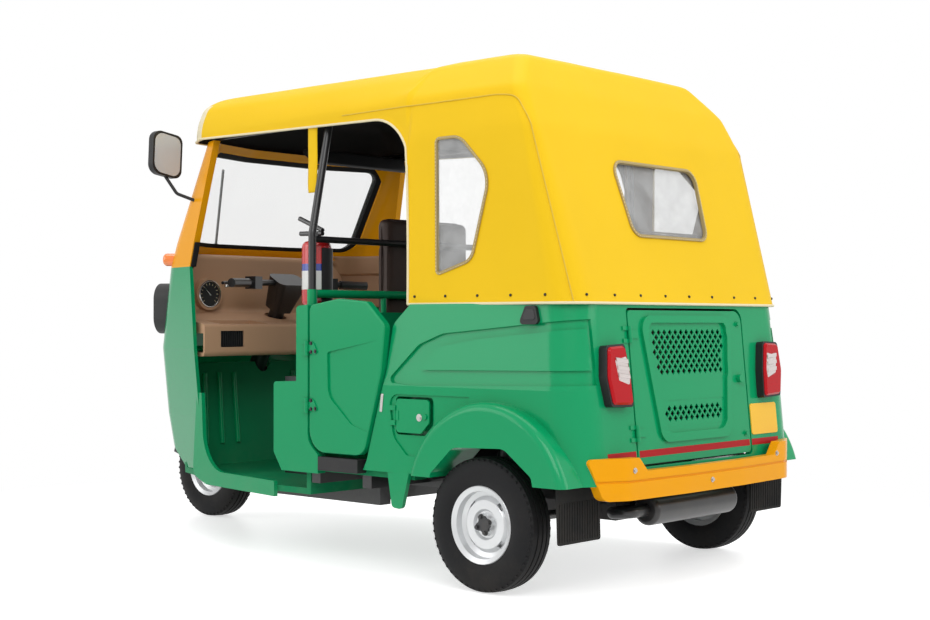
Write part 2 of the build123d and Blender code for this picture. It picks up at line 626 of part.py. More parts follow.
# Sill that runs from the cowl's foot along the edge of the driver's floor
FLOOR_KINK_X = SEAT_BOX_FRONT_X - 300
FLOOR_NOSE_X = FA - 560
FLOOR_NOSE_Y = SIDE_Y - 115
SILL_LOW_Z = 212
SILL_LIP_Z = DRIVER_FLOOR_Z + 14
SILL_FOOT_TOP_Z = 540
sill_run = math.dist((FLOOR_NOSE_X, FLOOR_NOSE_Y), (FLOOR_KINK_X, FLOOR_HALF))
sill_plane = Plane(origin=(FLOOR_NOSE_X, FLOOR_NOSE_Y, 0),
                   x_dir=(FLOOR_KINK_X - FLOOR_NOSE_X, FLOOR_HALF - FLOOR_NOSE_Y, 0),
                   z_dir=(FLOOR_HALF - FLOOR_NOSE_Y, FLOOR_NOSE_X - FLOOR_KINK_X, 0))
sill = extrude(sill_plane * face_of([
    (-60, SILL_LOW_Z + 30, 40), (40, SILL_LOW_Z, 60), (sill_run, SILL_LOW_Z), (sill_run, SILL_LIP_Z, 8),
    (26, SILL_LIP_Z, 150), (6, SILL_FOOT_TOP_Z), (-30, SILL_FOOT_TOP_Z),
]), COWL_T)
cowl = cowl + sill + mirrored(sill)
add("front_cowl", cowl)

screen_outer = stack(SCREEN_LEVELS, nose_outline(0, 0))
screen_inner = stack(SCREEN_LEVELS, nose_outline(SCREEN_FRAME_T, 160))
APERTURE_HALF = SIDE_Y - 174
APERTURE_LOW_Z = 1088
APERTURE_TOP_Z = SCREEN_TOP_Z - 28
APERTURE_R = 55
SEAL_W = 16
SEAL_T = 18
SEAL_DEPTH = 4
GLASS_DEPTH = 10
GLASS_T = 5


def aperture(inset):
    half, low, top = APERTURE_HALF - inset, APERTURE_LOW_Z + inset, APERTURE_TOP_Z - inset
    r = APERTURE_R - inset
    return front_prism([(half, low, r), (half, top, r), (-half, top, r), (-half, low, r)], FA - 520, FA + 50)


def screen_layer(depth, thickness):
    """Layer of the screen's own curved form, at a depth below its outside."""
    outer = stack(SCREEN_LEVELS, nose_outline(depth, 0))
    return outer - stack(SCREEN_LEVELS, nose_outline(depth + thickness, 160))


screen_frame = add("screen_frame", (screen_outer - screen_inner) - aperture(0))
add("screen_seal", (screen_layer(SEAL_DEPTH, SEAL_T) & aperture(0)) - aperture(SEAL_W))
add("screen_glass", screen_layer(GLASS_DEPTH, GLASS_T) & aperture(SEAL_W))

# Floor: cabin floor, step down to the driver's floor, and toe board up behind the wheel well
TOE_TOP_Z = 640
TOE_TOP_X = FA - 290
FLOOR_REAR_X = RA + 290
STEP_X = PARTITION_X + 6
TRAY_RISE = 4
TRAY_HALF = SIDE_Y - 80
TRAY_REAR_X = RA + 330
TRAY_FRONT_X = PARTITION_X - 60
SWAGE_END = 25
SWAGE_W = 24
SWAGE_PITCH = 120
SWAGE_COUNT = 9
floor_profile = [
    (FLOOR_REAR_X, CABIN_FLOOR_Z), (STEP_X, CABIN_FLOOR_Z), (STEP_X, DRIVER_FLOOR_Z),
    (DRIVER_FLOOR_FRONT_X, DRIVER_FLOOR_Z), (TOE_TOP_X, TOE_TOP_Z),
    (TOE_TOP_X + FLOOR_T, TOE_TOP_Z), (DRIVER_FLOOR_FRONT_X + FLOOR_T, DRIVER_FLOOR_Z - FLOOR_T),
    (STEP_X - FLOOR_T, DRIVER_FLOOR_Z - FLOOR_T), (STEP_X - FLOOR_T, CABIN_FLOOR_Z - FLOOR_T),
    (FLOOR_REAR_X, CABIN_FLOOR_Z - FLOOR_T),
]
floor_half = [
    (FLOOR_REAR_X, FLOOR_HALF), (FLOOR_KINK_X, FLOOR_HALF), (FLOOR_NOSE_X, FLOOR_NOSE_Y),
    (FA - 200, SIDE_Y - 260),
]
floor_plan = plan_prism([*floor_half, *[(x, -y) for x, y in reversed(floor_half)]], 0, COWL_TOP_Z)
column_way = rod(steer_point(300), steer_point(1100), COLUMN_R + 22)
floor_pan = (side_prism(floor_profile, -BEYOND, BEYOND) & floor_plan) - column_way - cowl
swage = box(TRAY_REAR_X + SWAGE_END, TRAY_FRONT_X - SWAGE_END, -SWAGE_W / 2, SWAGE_W / 2,
            CABIN_FLOOR_Z, CABIN_FLOOR_Z + 2 * TRAY_RISE)
swages = [Pos(0, SWAGE_PITCH * (i - SWAGE_COUNT // 2), 0) * swage for i in range(SWAGE_COUNT)]
floor_tray = box(TRAY_REAR_X, TRAY_FRONT_X, -TRAY_HALF, TRAY_HALF, CABIN_FLOOR_Z, CABIN_FLOOR_Z + TRAY_RISE)
add("floor_pan", (floor_pan + (floor_tray - swages)) - PARTS["chassis_frame"])

# Steering head: sleeve round the column on a cross tube between the cowl's sides
HEAD_LOW_Z, HEAD_TOP_Z = 530, 770
CROSS_Z = 600
head_sleeve = rod(steer_point(HEAD_LOW_Z), steer_point(HEAD_TOP_Z), HEAD_R)
cross_x = steer_point(CROSS_Z)[0]
head_cross = rod((cross_x, -SIDE_Y, CROSS_Z), (cross_x, SIDE_Y, CROSS_Z), 20) & cowl_inner
column_bore = rod(steer_point(HEAD_LOW_Z - 40), steer_point(HEAD_TOP_Z + 40), COLUMN_R + PIN_CLEARANCE)
add("steering_head", (head_sleeve + head_cross) - column_bore - PARTS["floor_pan"])

# Foot steps under the doors
STEP_TOP_Z = DOOR_BOTTOM_Z - GAP - 5
STEP_LOW_Z = SILL_Z - 12
STEP_REAR_X, STEP_FRONT_X = RA + 503, RA + 687
step = side_prism([
    (STEP_REAR_X, STEP_LOW_Z, 4), (STEP_REAR_X, STEP_TOP_Z, 4),
    (STEP_FRONT_X, STEP_TOP_Z, 4), (STEP_FRONT_X, STEP_LOW_Z, 4),
], FLOOR_HALF, DOOR_SKIN_Y + 6)
add("foot_steps", both_sides(step))

# Partition behind the driver: panel, posts and green rail
POST_R = 17
RAIL_R = 14
STUB_Y = 245
STUB_R = 10
PARTITION_T = 20
PARTITION_STEP = 8
partition = box(PARTITION_X - PARTITION_T / 2, PARTITION_X + PARTITION_T / 2, -POST_Y, POST_Y,
                CABIN_FLOOR_Z, PARTITION_TOP_Z)
partition = partition - box(PARTITION_X, PARTITION_X + PARTITION_T, -BEYOND, BEYOND,
                            DRIVER_FLOOR_Z, CABIN_FLOOR_Z + PARTITION_STEP)


def upright(y, z_low, z_high, radius):
    return rod((PARTITION_X, y, z_low), (PARTITION_X, y, z_high), radius)


def crossbar(z, radius):
    return rod((PARTITION_X, -POST_Y, z), (PARTITION_X, POST_Y, z), radius)


for y in (-POST_Y, POST_Y):
    partition = partition + upright(y, CABIN_FLOOR_Z + PARTITION_STEP, PARTITION_RAIL_Z, POST_R)
for y in (-STUB_Y, STUB_Y):
    partition = partition + upright(y, PARTITION_TOP_Z - 10, PARTITION_RAIL_Z, STUB_R)
add("partition", partition + crossbar(PARTITION_RAIL_Z - RAIL_R, RAIL_R))

# Black upper posts, roof hoop and grab rail
HOOP_R = 13
GRAB_R = 11
# columns are Y and Z
HOOP = [(POST_Y, PARTITION_RAIL_Z), (POST_Y, 1090), (POST_Y - 78, ROOF_EDGE_Z + 15), (POST_Y - 198, 1570)]
hoop_left = [(PARTITION_X, y, z) for y, z in HOOP]
roof_posts = tube([*hoop_left, *[(x, -y, z) for x, y, z in reversed(hoop_left)]], HOOP_R, 60)
add("roof_posts", roof_posts + crossbar(GRAB_RAIL_Z, GRAB_R))

# Canopy: hood over the cabin, and roof forward to the screen
# level, rear X from the rear axle, and set-in from the side wall
HOOD_LEVELS = [
    (TUB_TOP_Z, -318, 46),
    (1378, -144, 42),
    (1472, -90, 48),
    (1526, -56, 80),
    (1596, 14, 166),
    (1642, 140, 300),
    (ROOF_TOP_Z, 330, 490),
]
HOOD_CORNER_R = 95
# level, and set-in from the side wall at the hood and at the front
ROOF_LEVELS = [
    (ROOF_EDGE_Z - 110, 46, 110),
    (1482, 54, 112),
    (1540, 92, 124),
    (1590, 156, 156),
    (1626, 250, 234),
    (1644, 410, 410),
    (ROOF_TOP_Z - 10, 550, 550),
]
ROOF_REAR_X = RA + 180
ROOF_BOW = 58         # the front edge's reach at the middle, past its corners
ROOF_FLAT = 0.4       # of the front edge's width, straight at the middle
ROOF_CORNER_R = 40
OPENING_R = 95


def hood_outline(inset, reach):
    def outline(level):
        _, rear_x, set_in = level
        back, front, h = RA + rear_x + inset, HOOD_FRONT_X + reach, SIDE_Y - set_in - inset
        r = min(HOOD_CORNER_R, h * 0.8) - inset / 2
        return face_of([(front, h), (back, h, r), (back, -h, r), (front, -h)])
    return outline


def roof_outline(inset):
    def outline(level):
        _, hood_in, front_in = level
        b, f = SIDE_Y - hood_in - inset, SIDE_Y - front_in - inset
        corner, front = CANOPY_FRONT_X - inset, CANOPY_FRONT_X + ROOF_BOW - inset
        half = [
            (front, f * ROOF_FLAT, 200), (corner, f, ROOF_CORNER_R),
            (HOOD_FRONT_X, b), (ROOF_REAR_X + inset, b),
        ]
        return face_of([*half, *[(x, -y, *r) for x, y, *r in reversed(half)]])
    return outline


def lowered(levels, by):
    return [(z - by, *rest) for z, *rest in levels]


canopy_outer = stack(HOOD_LEVELS, hood_outline(0, 0)) + stack(ROOF_LEVELS, roof_outline(0))
hood_room = stack(lowered(HOOD_LEVELS, CANVAS), hood_outline(CANVAS, CANVAS))
roof_room = stack(lowered(ROOF_LEVELS, CANVAS), roof_outline(CANVAS))
side_opening = side_prism([
    (HOOD_FRONT_X, 0), (HOOD_FRONT_X, ROOF_EDGE_Z, OPENING_R), (FA, ROOF_EDGE_Z), (FA, 0),
], -BEYOND, BEYOND)
SIDE_WINDOW = [
    (RA + 216, 945, 8), (RA + 216, 1356, 12), (RA + 120, 1356, 70), (RA + 4, 1235, 90), (RA + 78, 985, 50),
]
REAR_WINDOW = [(225, 1288, 40), (-225, 1288, 40), (-200, 1062, 40), (200, 1062, 40)]
FILM_DEPTH = 4
FILM_T = 2
side_window = side_prism(SIDE_WINDOW, SIDE_Y - 220, BEYOND)
rear_window = front_prism(REAR_WINDOW, RA - 500, RA)
windows = [side_window, mirrored(side_window), rear_window]
film = stack(HOOD_LEVELS, hood_outline(FILM_DEPTH, 0))
film = film - stack(HOOD_LEVELS, hood_outline(FILM_DEPTH + FILM_T, 30))
add("canopy_windows", Compound([s for hole in windows for s in (film & hole).solids()]))
add("canopy", canopy_outer - windows - side_opening - hood_room - roof_room)

# Passenger bench over the engine
BENCH_FRONT_X = RA + 288
BENCH_TOP_Z = 606
BENCH_T = 20
BENCH_PAD_T = 115
BENCH_BACK_X = RA - 100
BENCH_BACK_TOP_Z = 1085
bench = box(RA - 205, BENCH_FRONT_X, -BENCH_HALF, BENCH_HALF, BENCH_TOP_Z - BENCH_T, BENCH_TOP_Z)
bench = bench + box(BENCH_FRONT_X - BENCH_T, BENCH_FRONT_X, -BENCH_HALF, BENCH_HALF,
                    CABIN_FLOOR_Z - FLOOR_T, BENCH_TOP_Z)
add("bench_base", bench - PARTS["chassis_frame"])
pad_half = BENCH_HALF - 40
bench_pad = box(BENCH_BACK_X + 1, BENCH_FRONT_X + 22, -pad_half, pad_half,
                BENCH_TOP_Z, BENCH_TOP_Z + BENCH_PAD_T)
add("bench_cushion", fillet(bench_pad.edges().filter_by(Axis.Z), 40))
add("bench_backrest", side_prism([
    (BENCH_BACK_X, BENCH_TOP_Z), (BENCH_BACK_X, BENCH_TOP_Z + 124), (BENCH_BACK_X - 18, BENCH_BACK_TOP_Z, 30),
    (BENCH_BACK_X - 78, BENCH_BACK_TOP_Z, 20), (BENCH_BACK_X - 78, BENCH_TOP_Z),
], -pad_half - 5, pad_half + 5))

# Hoops and rails that carry the canopy
BOW_R = 11
ROOF_RAIL_R = 9
# foot, shoulder, eave and crown of each bow: X from the rear axle, set-in from the side wall, Z
BOWS = [
    [(268, 93, BENCH_TOP_Z), (285, 90, 1330), (285, 120, 1470), (285, 240, 1578)],
    [(-287, 150, TUB_TOP_Z), (-119, 140, 1360), (-28, 180, 1490), (70, 250, 1572)],
]
bows = []
for bow in BOWS:
    left = [(RA + x, SIDE_Y - set_in, z) for x, set_in, z in bow]
    right = [(x, -y, z) for x, y, z in reversed(left)]
    bows.append(tube([*left, *right], BOW_R, 40))
# the roof's long rails, from bow to bow
RAIL_RUN = [
    (RA - 28, SIDE_Y - 180, 1490), (RA + 285, SIDE_Y - 120, 1470), (PARTITION_X, POST_Y - 97, 1471),
    (CANOPY_FRONT_X - 40, SIDE_Y - 180, 1472),
]
for start, end in zip(RAIL_RUN, RAIL_RUN[1:]):
    rail = rod(start, end, ROOF_RAIL_R)
    bows += [rail, mirrored(rail)]
add("canopy_bows", joined(bows) - PARTS["roof_posts"] - PARTS["bench_base"] - tub)

# Strap that ties up the side curtain
STRAP_OUT_Y = SIDE_Y - 80
add("curtain_strap", box(PARTITION_X + 22, PARTITION_X + 66, STRAP_OUT_Y - 6, STRAP_OUT_Y,
                         1230, ROOF_EDGE_Z - TOUCH))

# Driver's seat
SEAT_BOX_HALF = 300
SEAT_BOX_T = 18
SEAT_T = 90
BACK_T = 62
BACK_X = PARTITION_X + RAIL_R + TOUCH
seat_box = box(PARTITION_X + 12, SEAT_BOX_FRONT_X, -SEAT_BOX_HALF, SEAT_BOX_HALF, DRIVER_FLOOR_Z, WAIST_Z)
seat_box = seat_box - box(PARTITION_X + 12 + SEAT_BOX_T, SEAT_BOX_FRONT_X - SEAT_BOX_T,
                          SEAT_BOX_T - SEAT_BOX_HALF, SEAT_BOX_HALF - SEAT_BOX_T,
                          DRIVER_FLOOR_Z - 10, WAIST_Z - SEAT_BOX_T)
add("seat_box", seat_box - PARTS["chassis_frame"])
cushion = box(PARTITION_X + 60, SEAT_BOX_FRONT_X + 25, -235, 235, WAIST_Z, WAIST_Z + SEAT_T)
add("driver_cushion", fillet(cushion.edges().filter_by(Axis.Z), 50))
backrest = box(BACK_X, BACK_X + BACK_T, -215, 215, 800, 1160)
add("driver_backrest", fillet(backrest.edges().filter_by(Axis.X), 55))

# Dashboard with tray, vent, hood and round instrument pod
DASH_LOW_Z = 672
DASH_SHELF_Z = 788
DASH_TOP_Z = 1060
DASH_T = 14
POD_R = 62
POD_Y = SIDE_Y - 320
dash = side_prism([
    (DASH_REAR_X, DASH_LOW_Z, 20), (DASH_REAR_X, DASH_SHELF_Z, 12), (FA - 420, DASH_SHELF_Z + 18),
    (FA - 312, DASH_SHELF_Z + 50, 30), (FA - 296, DASH_TOP_Z, 25), (FA - 190, DASH_TOP_Z),
    (FA - 190, DASH_LOW_Z),
], -BEYOND, BEYOND)
tray = box(DASH_REAR_X + 22, FA - 440, SIDE_Y - 430, SIDE_Y - 200, DASH_SHELF_Z - 16, DASH_SHELF_Z + 112)
vent = box(DASH_REAR_X - 10, DASH_REAR_X + DASH_T, SIDE_Y - 290, SIDE_Y - 180, 705, 765)
pod_ring = Cylinder(POD_R, 50) - Pos(0, 0, 12) * Cylinder(POD_R - DASH_T, 40)
pod_ring = Pos(FA - 310, POD_Y, 905) * Rot(0, -90, 0) * pod_ring
dash = (dash - tray - mirrored(tray) - vent) + pod_ring
dash_hollow = side_prism([
    (DASH_REAR_X + DASH_T, DASH_LOW_Z + DASH_T), (DASH_REAR_X + DASH_T, DASH_SHELF_Z - 32),
    (FA - 420, DASH_SHELF_Z - 32),
    (FA - 296, DASH_SHELF_Z + 12), (FA - 280, DASH_TOP_Z - DASH_T), (FA - 150, DASH_TOP_Z - DASH_T),
    (FA - 150, DASH_LOW_Z + DASH_T),
], -BEYOND, BEYOND)
dash_room = stack([(WAIST_Z, *COWL_LEVELS[2][1:]), *COWL_LEVELS[2:], *SCREEN_LEVELS[1:]],
                  nose_outline(SCREEN_FRAME_T + TOUCH, 160))
add("dashboard", (dash & dash_room) - dash_hollow - column_way)

# Sun visor under the roof, ahead of the driver's right
add("sun_visor", side_prism([
    (FA - 655, 1395, 8), (FA - 640, 1460, 8), (FA - 572, 1468, 6), (FA - 575, 1448, 4),
], 168 - SIDE_Y, 40) - PARTS["canopy_bows"] - screen_frame)

# Lamps and indicators at the front
LAMP_X = FA - 130
LAMP_Y = SIDE_Y - 268
LAMP_Z = 850
LAMP_TOE = math.radians(25)
LAMP_W = 150
LAMP_H = 195
LAMP_RIM = 14
lamp_plane = Plane(origin=(LAMP_X, LAMP_Y, LAMP_Z), x_dir=(-math.sin(LAMP_TOE), math.cos(LAMP_TOE), 0),
                   z_dir=(math.cos(LAMP_TOE), math.sin(LAMP_TOE), 0))


def lamp_outline(inset):
    w, h = LAMP_W / 2 - inset, LAMP_H / 2 - inset
    return face_of([(w, h, 62 - inset), (-w, h, 50 - inset), (-w, -h, 50 - inset), (w, -h, 62 - inset)])


bezel = extrude(lamp_plane.offset(-150) * lamp_outline(0), 165)
lens_seat = extrude(lamp_plane.offset(-12) * lamp_outline(LAMP_RIM), 60)
lens = extrude(lamp_plane.offset(-12) * lamp_outline(LAMP_RIM), 40)
lens = fillet(lens.edges().group_by(Axis(lamp_plane.origin, lamp_plane.z_dir))[-1], LAMP_RIM)
add("headlamp_bezels", both_sides((bezel - cowl_outer) - lens_seat))
add("headlamp_lenses", both_sides(lens - cowl_outer))

indicator = Pos(FA - 318, SIDE_Y - 168, 1032) * Rot(0, 0, 42) * Rot(0, 90, 0) * Cylinder(24, 90)
indicator = fillet(indicator.edges().sort_by(Axis.X)[-1], 16)
add("front_indicators", both_sides(indicator - screen_outer - cowl_outer))

# Wiper on the screen
WIPER_PIVOT = (FA - 200, SIDE_Y - 455, 1098)
WIPER_TIP = (FA - 414, SIDE_Y - 320, 1375)
add("wiper", rod(WIPER_PIVOT, WIPER_TIP, 5) + Pos(*WIPER_PIVOT) * Sphere(13) - screen_outer)

# Mirrors
MIRROR_X = FA - 437
MIRROR_T = 36
GLASS_SEAT = 4
GLASS_RIM = 8
MIRROR_HEAD = [
    (HALF_WIDTH - 135, 1320, 30), (HALF_WIDTH - 142, 1480, 30),
    (HALF_WIDTH - 12, 1500, 32), (HALF_WIDTH - 5, 1340, 40),
]
mirror_head = front_prism(MIRROR_HEAD, MIRROR_X, MIRROR_X + MIRROR_T)
mirror_head = fillet(mirror_head.edges().group_by(Axis.X)[-1], 12)
mirror_edge = grown(MIRROR_HEAD, -GLASS_RIM)
mirror_seat = front_prism(mirror_edge, MIRROR_X - 10, MIRROR_X + GLASS_SEAT)
mirror_arm = tube([
    (FA - 500, SIDE_Y - 150, 1235), (FA - 450, SIDE_Y - 75, 1268), (MIRROR_X + 20, SIDE_Y - 45, 1335),
], 6, 25) - screen_outer
add("mirrors", both_sides((mirror_head + mirror_arm) - mirror_seat))
add("mirror_glasses", both_sides(front_prism(mirror_edge, MIRROR_X, MIRROR_X + GLASS_SEAT)))

# Rear lamps, plate, bumper and mudflaps
LAMP_OUT = 26
# columns are set-in from the rear panel's edge, Z and corner radius
LAMP_REAR = [(116, 548, 10), (10, 552, 12), (-8, 636, 60), (4, 728, 14), (94, 732, 14), (112, 640, 60)]
lamp_edge = [(REAR_PANEL_HALF - set_in, z, r) for set_in, z, r in LAMP_REAR]
add("tail_lamps", both_sides(rear_slab(lamp_edge, LAMP_OUT, 0)))
PLATE_W, PLATE_H, PLATE_T = 160, 100, 3
PLATE_Y, PLATE_Z = 88 - REAR_PANEL_HALF, 482
plate_u, plate_v = PLATE_W / 2, PLATE_H / 2
plate = front_prism([
    (plate_u, plate_v, 10), (-plate_u, plate_v, 10), (-plate_u, -plate_v, 10), (plate_u, -plate_v, 10),
], -PLATE_T, 0)
add("number_plate", on_rear_wall(plate, PLATE_Y, PLATE_Z))

BUMPER_LOW_Z = 287
BUMPER_MID_Z = 368
BUMPER_END_Z = 408
BUMPER_HALF = SIDE_Y - 72
BUMPER_T = 26
BUMPER_END_X = RA - 345
CREASE_Z = 338
CREASE_W = 7
CREASE_D = 4
bumper_out = [
    (BUMPER_END_X, BUMPER_HALF, 10), (RA - 405, BUMPER_HALF - 108, 90), (RA - REAR_OVERHANG, 150, 300),
]
bumper_in = [
    (BUMPER_BACK_X - 8, 150, 300), (BUMPER_BACK_X + 12, BUMPER_HALF - 118, 70),
    (BUMPER_END_X + BUMPER_T, BUMPER_HALF, 4),
]
bumper_loop = [*bumper_out, *[(x, -y, r) for x, y, r in reversed(bumper_out)],
               *[(x, -y, r) for x, y, r in reversed(bumper_in)], *bumper_in]
face_half = [
    (BUMPER_HALF - 40, BUMPER_LOW_Z, 25), (BUMPER_HALF + 5, BUMPER_END_Z, 12),
    (BUMPER_HALF - 157, BUMPER_END_Z, 10), (BUMPER_HALF - 195, BUMPER_MID_Z, 8),
]
bumper_face = front_prism([*face_half, *[(-y, z, r) for y, z, r in reversed(face_half)]], RA - 600, RA)
bumper_band = plan_prism(bumper_loop, CREASE_Z, CREASE_Z + CREASE_W)
crease = bumper_band - Pos(CREASE_D, 0, 0) * bumper_band
bumper = (plan_prism(bumper_loop, BUMPER_LOW_Z, BUMPER_END_Z) & bumper_face) - crease
bumper = add("rear_bumper", bumper - tub_outer - PARTS["chassis_frame"])
MUDFLAP_T = 6
MUDFLAP_X = RA - 285
MUDFLAP_LOW_Z = 165
mudflap_in_y, mudflap_out_y = SIDE_Y - 200, SIDE_Y - 2
mudflap = front_prism([
    (mudflap_in_y, SILL_Z), (mudflap_out_y, SILL_Z), (mudflap_out_y - 8, MUDFLAP_LOW_Z, 8),
    (mudflap_in_y - 6, MUDFLAP_LOW_Z, 8),
], MUDFLAP_X, MUDFLAP_X + MUDFLAP_T)
add("mudflaps", both_sides(mudflap - bumper))

# Engine, exhaust and rear suspension
ENGINE_FRONT_X = RA + 190
ENGINE_REAR_X = RA - 190
ENGINE_HALF = 210
engine = box(ENGINE_REAR_X, ENGINE_FRONT_X, -ENGINE_HALF, ENGINE_HALF, 190, 500)
add("engine_block", engine - PARTS["chassis_frame"])
MUFFLER_R = 47
MUFFLER_X, MUFFLER_Z = RA - 303, 232
PIPE_Z = 224
muffler = fillet(rod((MUFFLER_X, -235, MUFFLER_Z), (MUFFLER_X, 215, MUFFLER_Z), MUFFLER_R).edges(), 14)
pipe = tube([
    (ENGINE_REAR_X, 120, PIPE_Z), (ENGINE_REAR_X - 40, 120, PIPE_Z), (ENGINE_REAR_X - 40, 290, PIPE_Z),
    (MUFFLER_X, 290, MUFFLER_Z), (MUFFLER_X, 200, MUFFLER_Z),
], 18, 18)
add("muffler", (muffler + pipe) - PARTS["engine_block"])

AXLE_R = 12
AXLE_END = 14
BACKPLATE_R = 82
ARM_PIVOT_X, ARM_PIVOT_Z = RA + 330, 255
ARM_R = 24
STRUT_X = RA + 70
STRUT_R = 26
SHAFT_R = 14
arm = tube([
    (ARM_PIVOT_X, RAIL_Y + RAIL_W / 2, ARM_PIVOT_Z), (ARM_PIVOT_X, ARM_OUT_Y - 60, ARM_PIVOT_Z),
    (RA, ARM_OUT_Y - 30, TYRE_RADIUS),
], ARM_R, 50)
backplate = rod((RA, ARM_OUT_Y - 12, TYRE_RADIUS), (RA, ARM_OUT_Y + 12, TYRE_RADIUS), BACKPLATE_R)
axle = rod((RA, ARM_OUT_Y - 40, TYRE_RADIUS), (RA, TRACK / 2 + AXLE_END, TYRE_RADIUS), AXLE_R)
boss = rod((RA, ARM_OUT_Y - 60, TYRE_RADIUS), (RA, ARM_OUT_Y - 10, TYRE_RADIUS), 34)
strut = rod((STRUT_X, ARM_OUT_Y - 65, 235), (STRUT_X - 20, ARM_OUT_Y - 80, BENCH_TOP_Z - BENCH_T), STRUT_R)
strut = strut - box(RA - 400, RA + 400, 0, BEYOND, BENCH_TOP_Z - BENCH_T, COWL_TOP_Z)
suspension = arm + backplate + axle + boss + strut
add("rear_suspension", both_sides(suspension - PARTS["chassis_frame"] - PARTS["bench_base"]))
shaft = rod((RA, ENGINE_HALF, TYRE_RADIUS), (RA, ARM_OUT_Y - 60, TYRE_RADIUS), SHAFT_R)
add("drive_shafts", both_sides(shaft - suspension))

# Wheels: tyre with ribbed tread, pressed rim, brake drum and four-armed hub
FLANGE_R, SEAT_R, WELL_R = 116, 104, 88
RIM_HALF = 44
RIM_T = 4
TREAD_HALF = 38
GROOVE_D = 6
GROOVE_PITCH = 20
DRUM_R = 78
rim_path = [
    (-RIM_HALF, FLANGE_R), (-RIM_HALF + 4, SEAT_R), (-18, SEAT_R - 2), (-12, WELL_R),
    (12, WELL_R), (18, SEAT_R - 2), (RIM_HALF - 4, SEAT_R), (RIM_HALF, FLANGE_R),
]


def turned(points):
    """Solid of revolution about Y, from an outline of Y and radius."""
    return revolve(Plane.YZ * make_face(Polyline(*points, close=True)), Axis.Y)


def tyre_outline():
    half = TYRE_WIDTH / 2
    wall_r = (FLANGE_R + TYRE_RADIUS) / 2 - 4
    shoulder = (TREAD_HALF + 6, TYRE_RADIUS - 12)
    tread = [shoulder, (TREAD_HALF, TYRE_RADIUS - 3)]
    for y in (GROOVE_PITCH, 0, -GROOVE_PITCH):
        crown_r = TYRE_RADIUS - abs(y) / GROOVE_PITCH
        floor_r = TYRE_RADIUS - GROOVE_D
        tread += [(y + 3, crown_r), (y + 2, floor_r), (y - 2, floor_r), (y - 3, crown_r)]
    tread += [(-TREAD_HALF, TYRE_RADIUS - 3), (-shoulder[0], shoulder[1])]
    return make_face([
        Polyline(*rim_path),
        ThreePointArc((RIM_HALF, FLANGE_R), (half, wall_r), shoulder),
        Polyline(*tread),
        ThreePointArc(tread[-1], (-half, wall_r), (-RIM_HALF, FLANGE_R)),
    ])


tyre = revolve(Plane.YZ * tyre_outline(), Axis.Y)
rim_inner = [(y, r - RIM_T) for y, r in rim_path[1:-1]]
rim_lip = (RIM_HALF + 3, FLANGE_R - 2)
rim_ring = turned([*rim_path, rim_lip, *reversed(rim_inner), (-rim_lip[0], rim_lip[1])])
DISC_Y = 16
LUGS = 4
disc = turned([
    (6, WELL_R - RIM_T), (12, WELL_R - RIM_T), (DISC_Y + 8, 72), (DISC_Y + 8, 46), (DISC_Y, 40),
    (DISC_Y, AXLE_R + 2), (DISC_Y - 5, AXLE_R + 2), (DISC_Y - 5, 42), (DISC_Y + 3, 49), (DISC_Y + 3, 70),
])
slot = Pos(0, 10, 78) * Box(26, 40, 9)
slots = [Rot(0, 45 + 360 / LUGS * i, 0) * slot for i in range(LUGS)]
lobe = Pos(0, DISC_Y, 24) * Rot(-90, 0, 0) * knob(11, 15)
arm_web = Pos(0, DISC_Y + 5, 13) * Box(17, 10, 26)
star = joined([Rot(0, 20 + 360 / LUGS * i, 0) * (lobe + arm_web) for i in range(LUGS)])
star = star + Pos(0, DISC_Y, 0) * Rot(-90, 0, 0) * knob(17, 12)
BORE_START = -80


def rim_with(drum_points, bore_r, bore_end):
    bore = Pos(0, BORE_START, 0) * Rot(-90, 0, 0) * knob(bore_r, bore_end - BORE_START)
    return (rim_ring + (disc - slots) + turned(drum_points) + star) - bore


drum_back = 4 - TYRE_WIDTH / 2
rear_rim = rim_with([
    (drum_back, 0), (drum_back, DRUM_R), (2, DRUM_R), (8, DRUM_R - 10), (DISC_Y - 4, 30),
    (DISC_Y + 1, 20), (DISC_Y + 1, 0),
], AXLE_R + PIN_CLEARANCE, AXLE_END + 2)
rear_place = Pos(RA, TRACK / 2, TYRE_RADIUS)
add("tyre_rear_left", rear_place * tyre)
add("rim_rear_left", rear_place * rear_rim)
add("tyre_rear_right", mirrored(rear_place * tyre))
add("rim_rear_right", mirrored(rear_place * rear_rim))

FRONT_AXLE_R = 9
front_rim = rim_with([
    (-34, 0), (-34, 40), (-6, DRUM_R - 14), (2, DRUM_R - 14), (DISC_Y - 4, 30),
    (DISC_Y + 12, 18), (DISC_Y + 12, 0),
], FRONT_AXLE_R + PIN_CLEARANCE, 60)
front_place = Pos(FA, 0, TYRE_RADIUS)
add("tyre_front", front_place * tyre)
add("rim_front", front_place * front_rim)

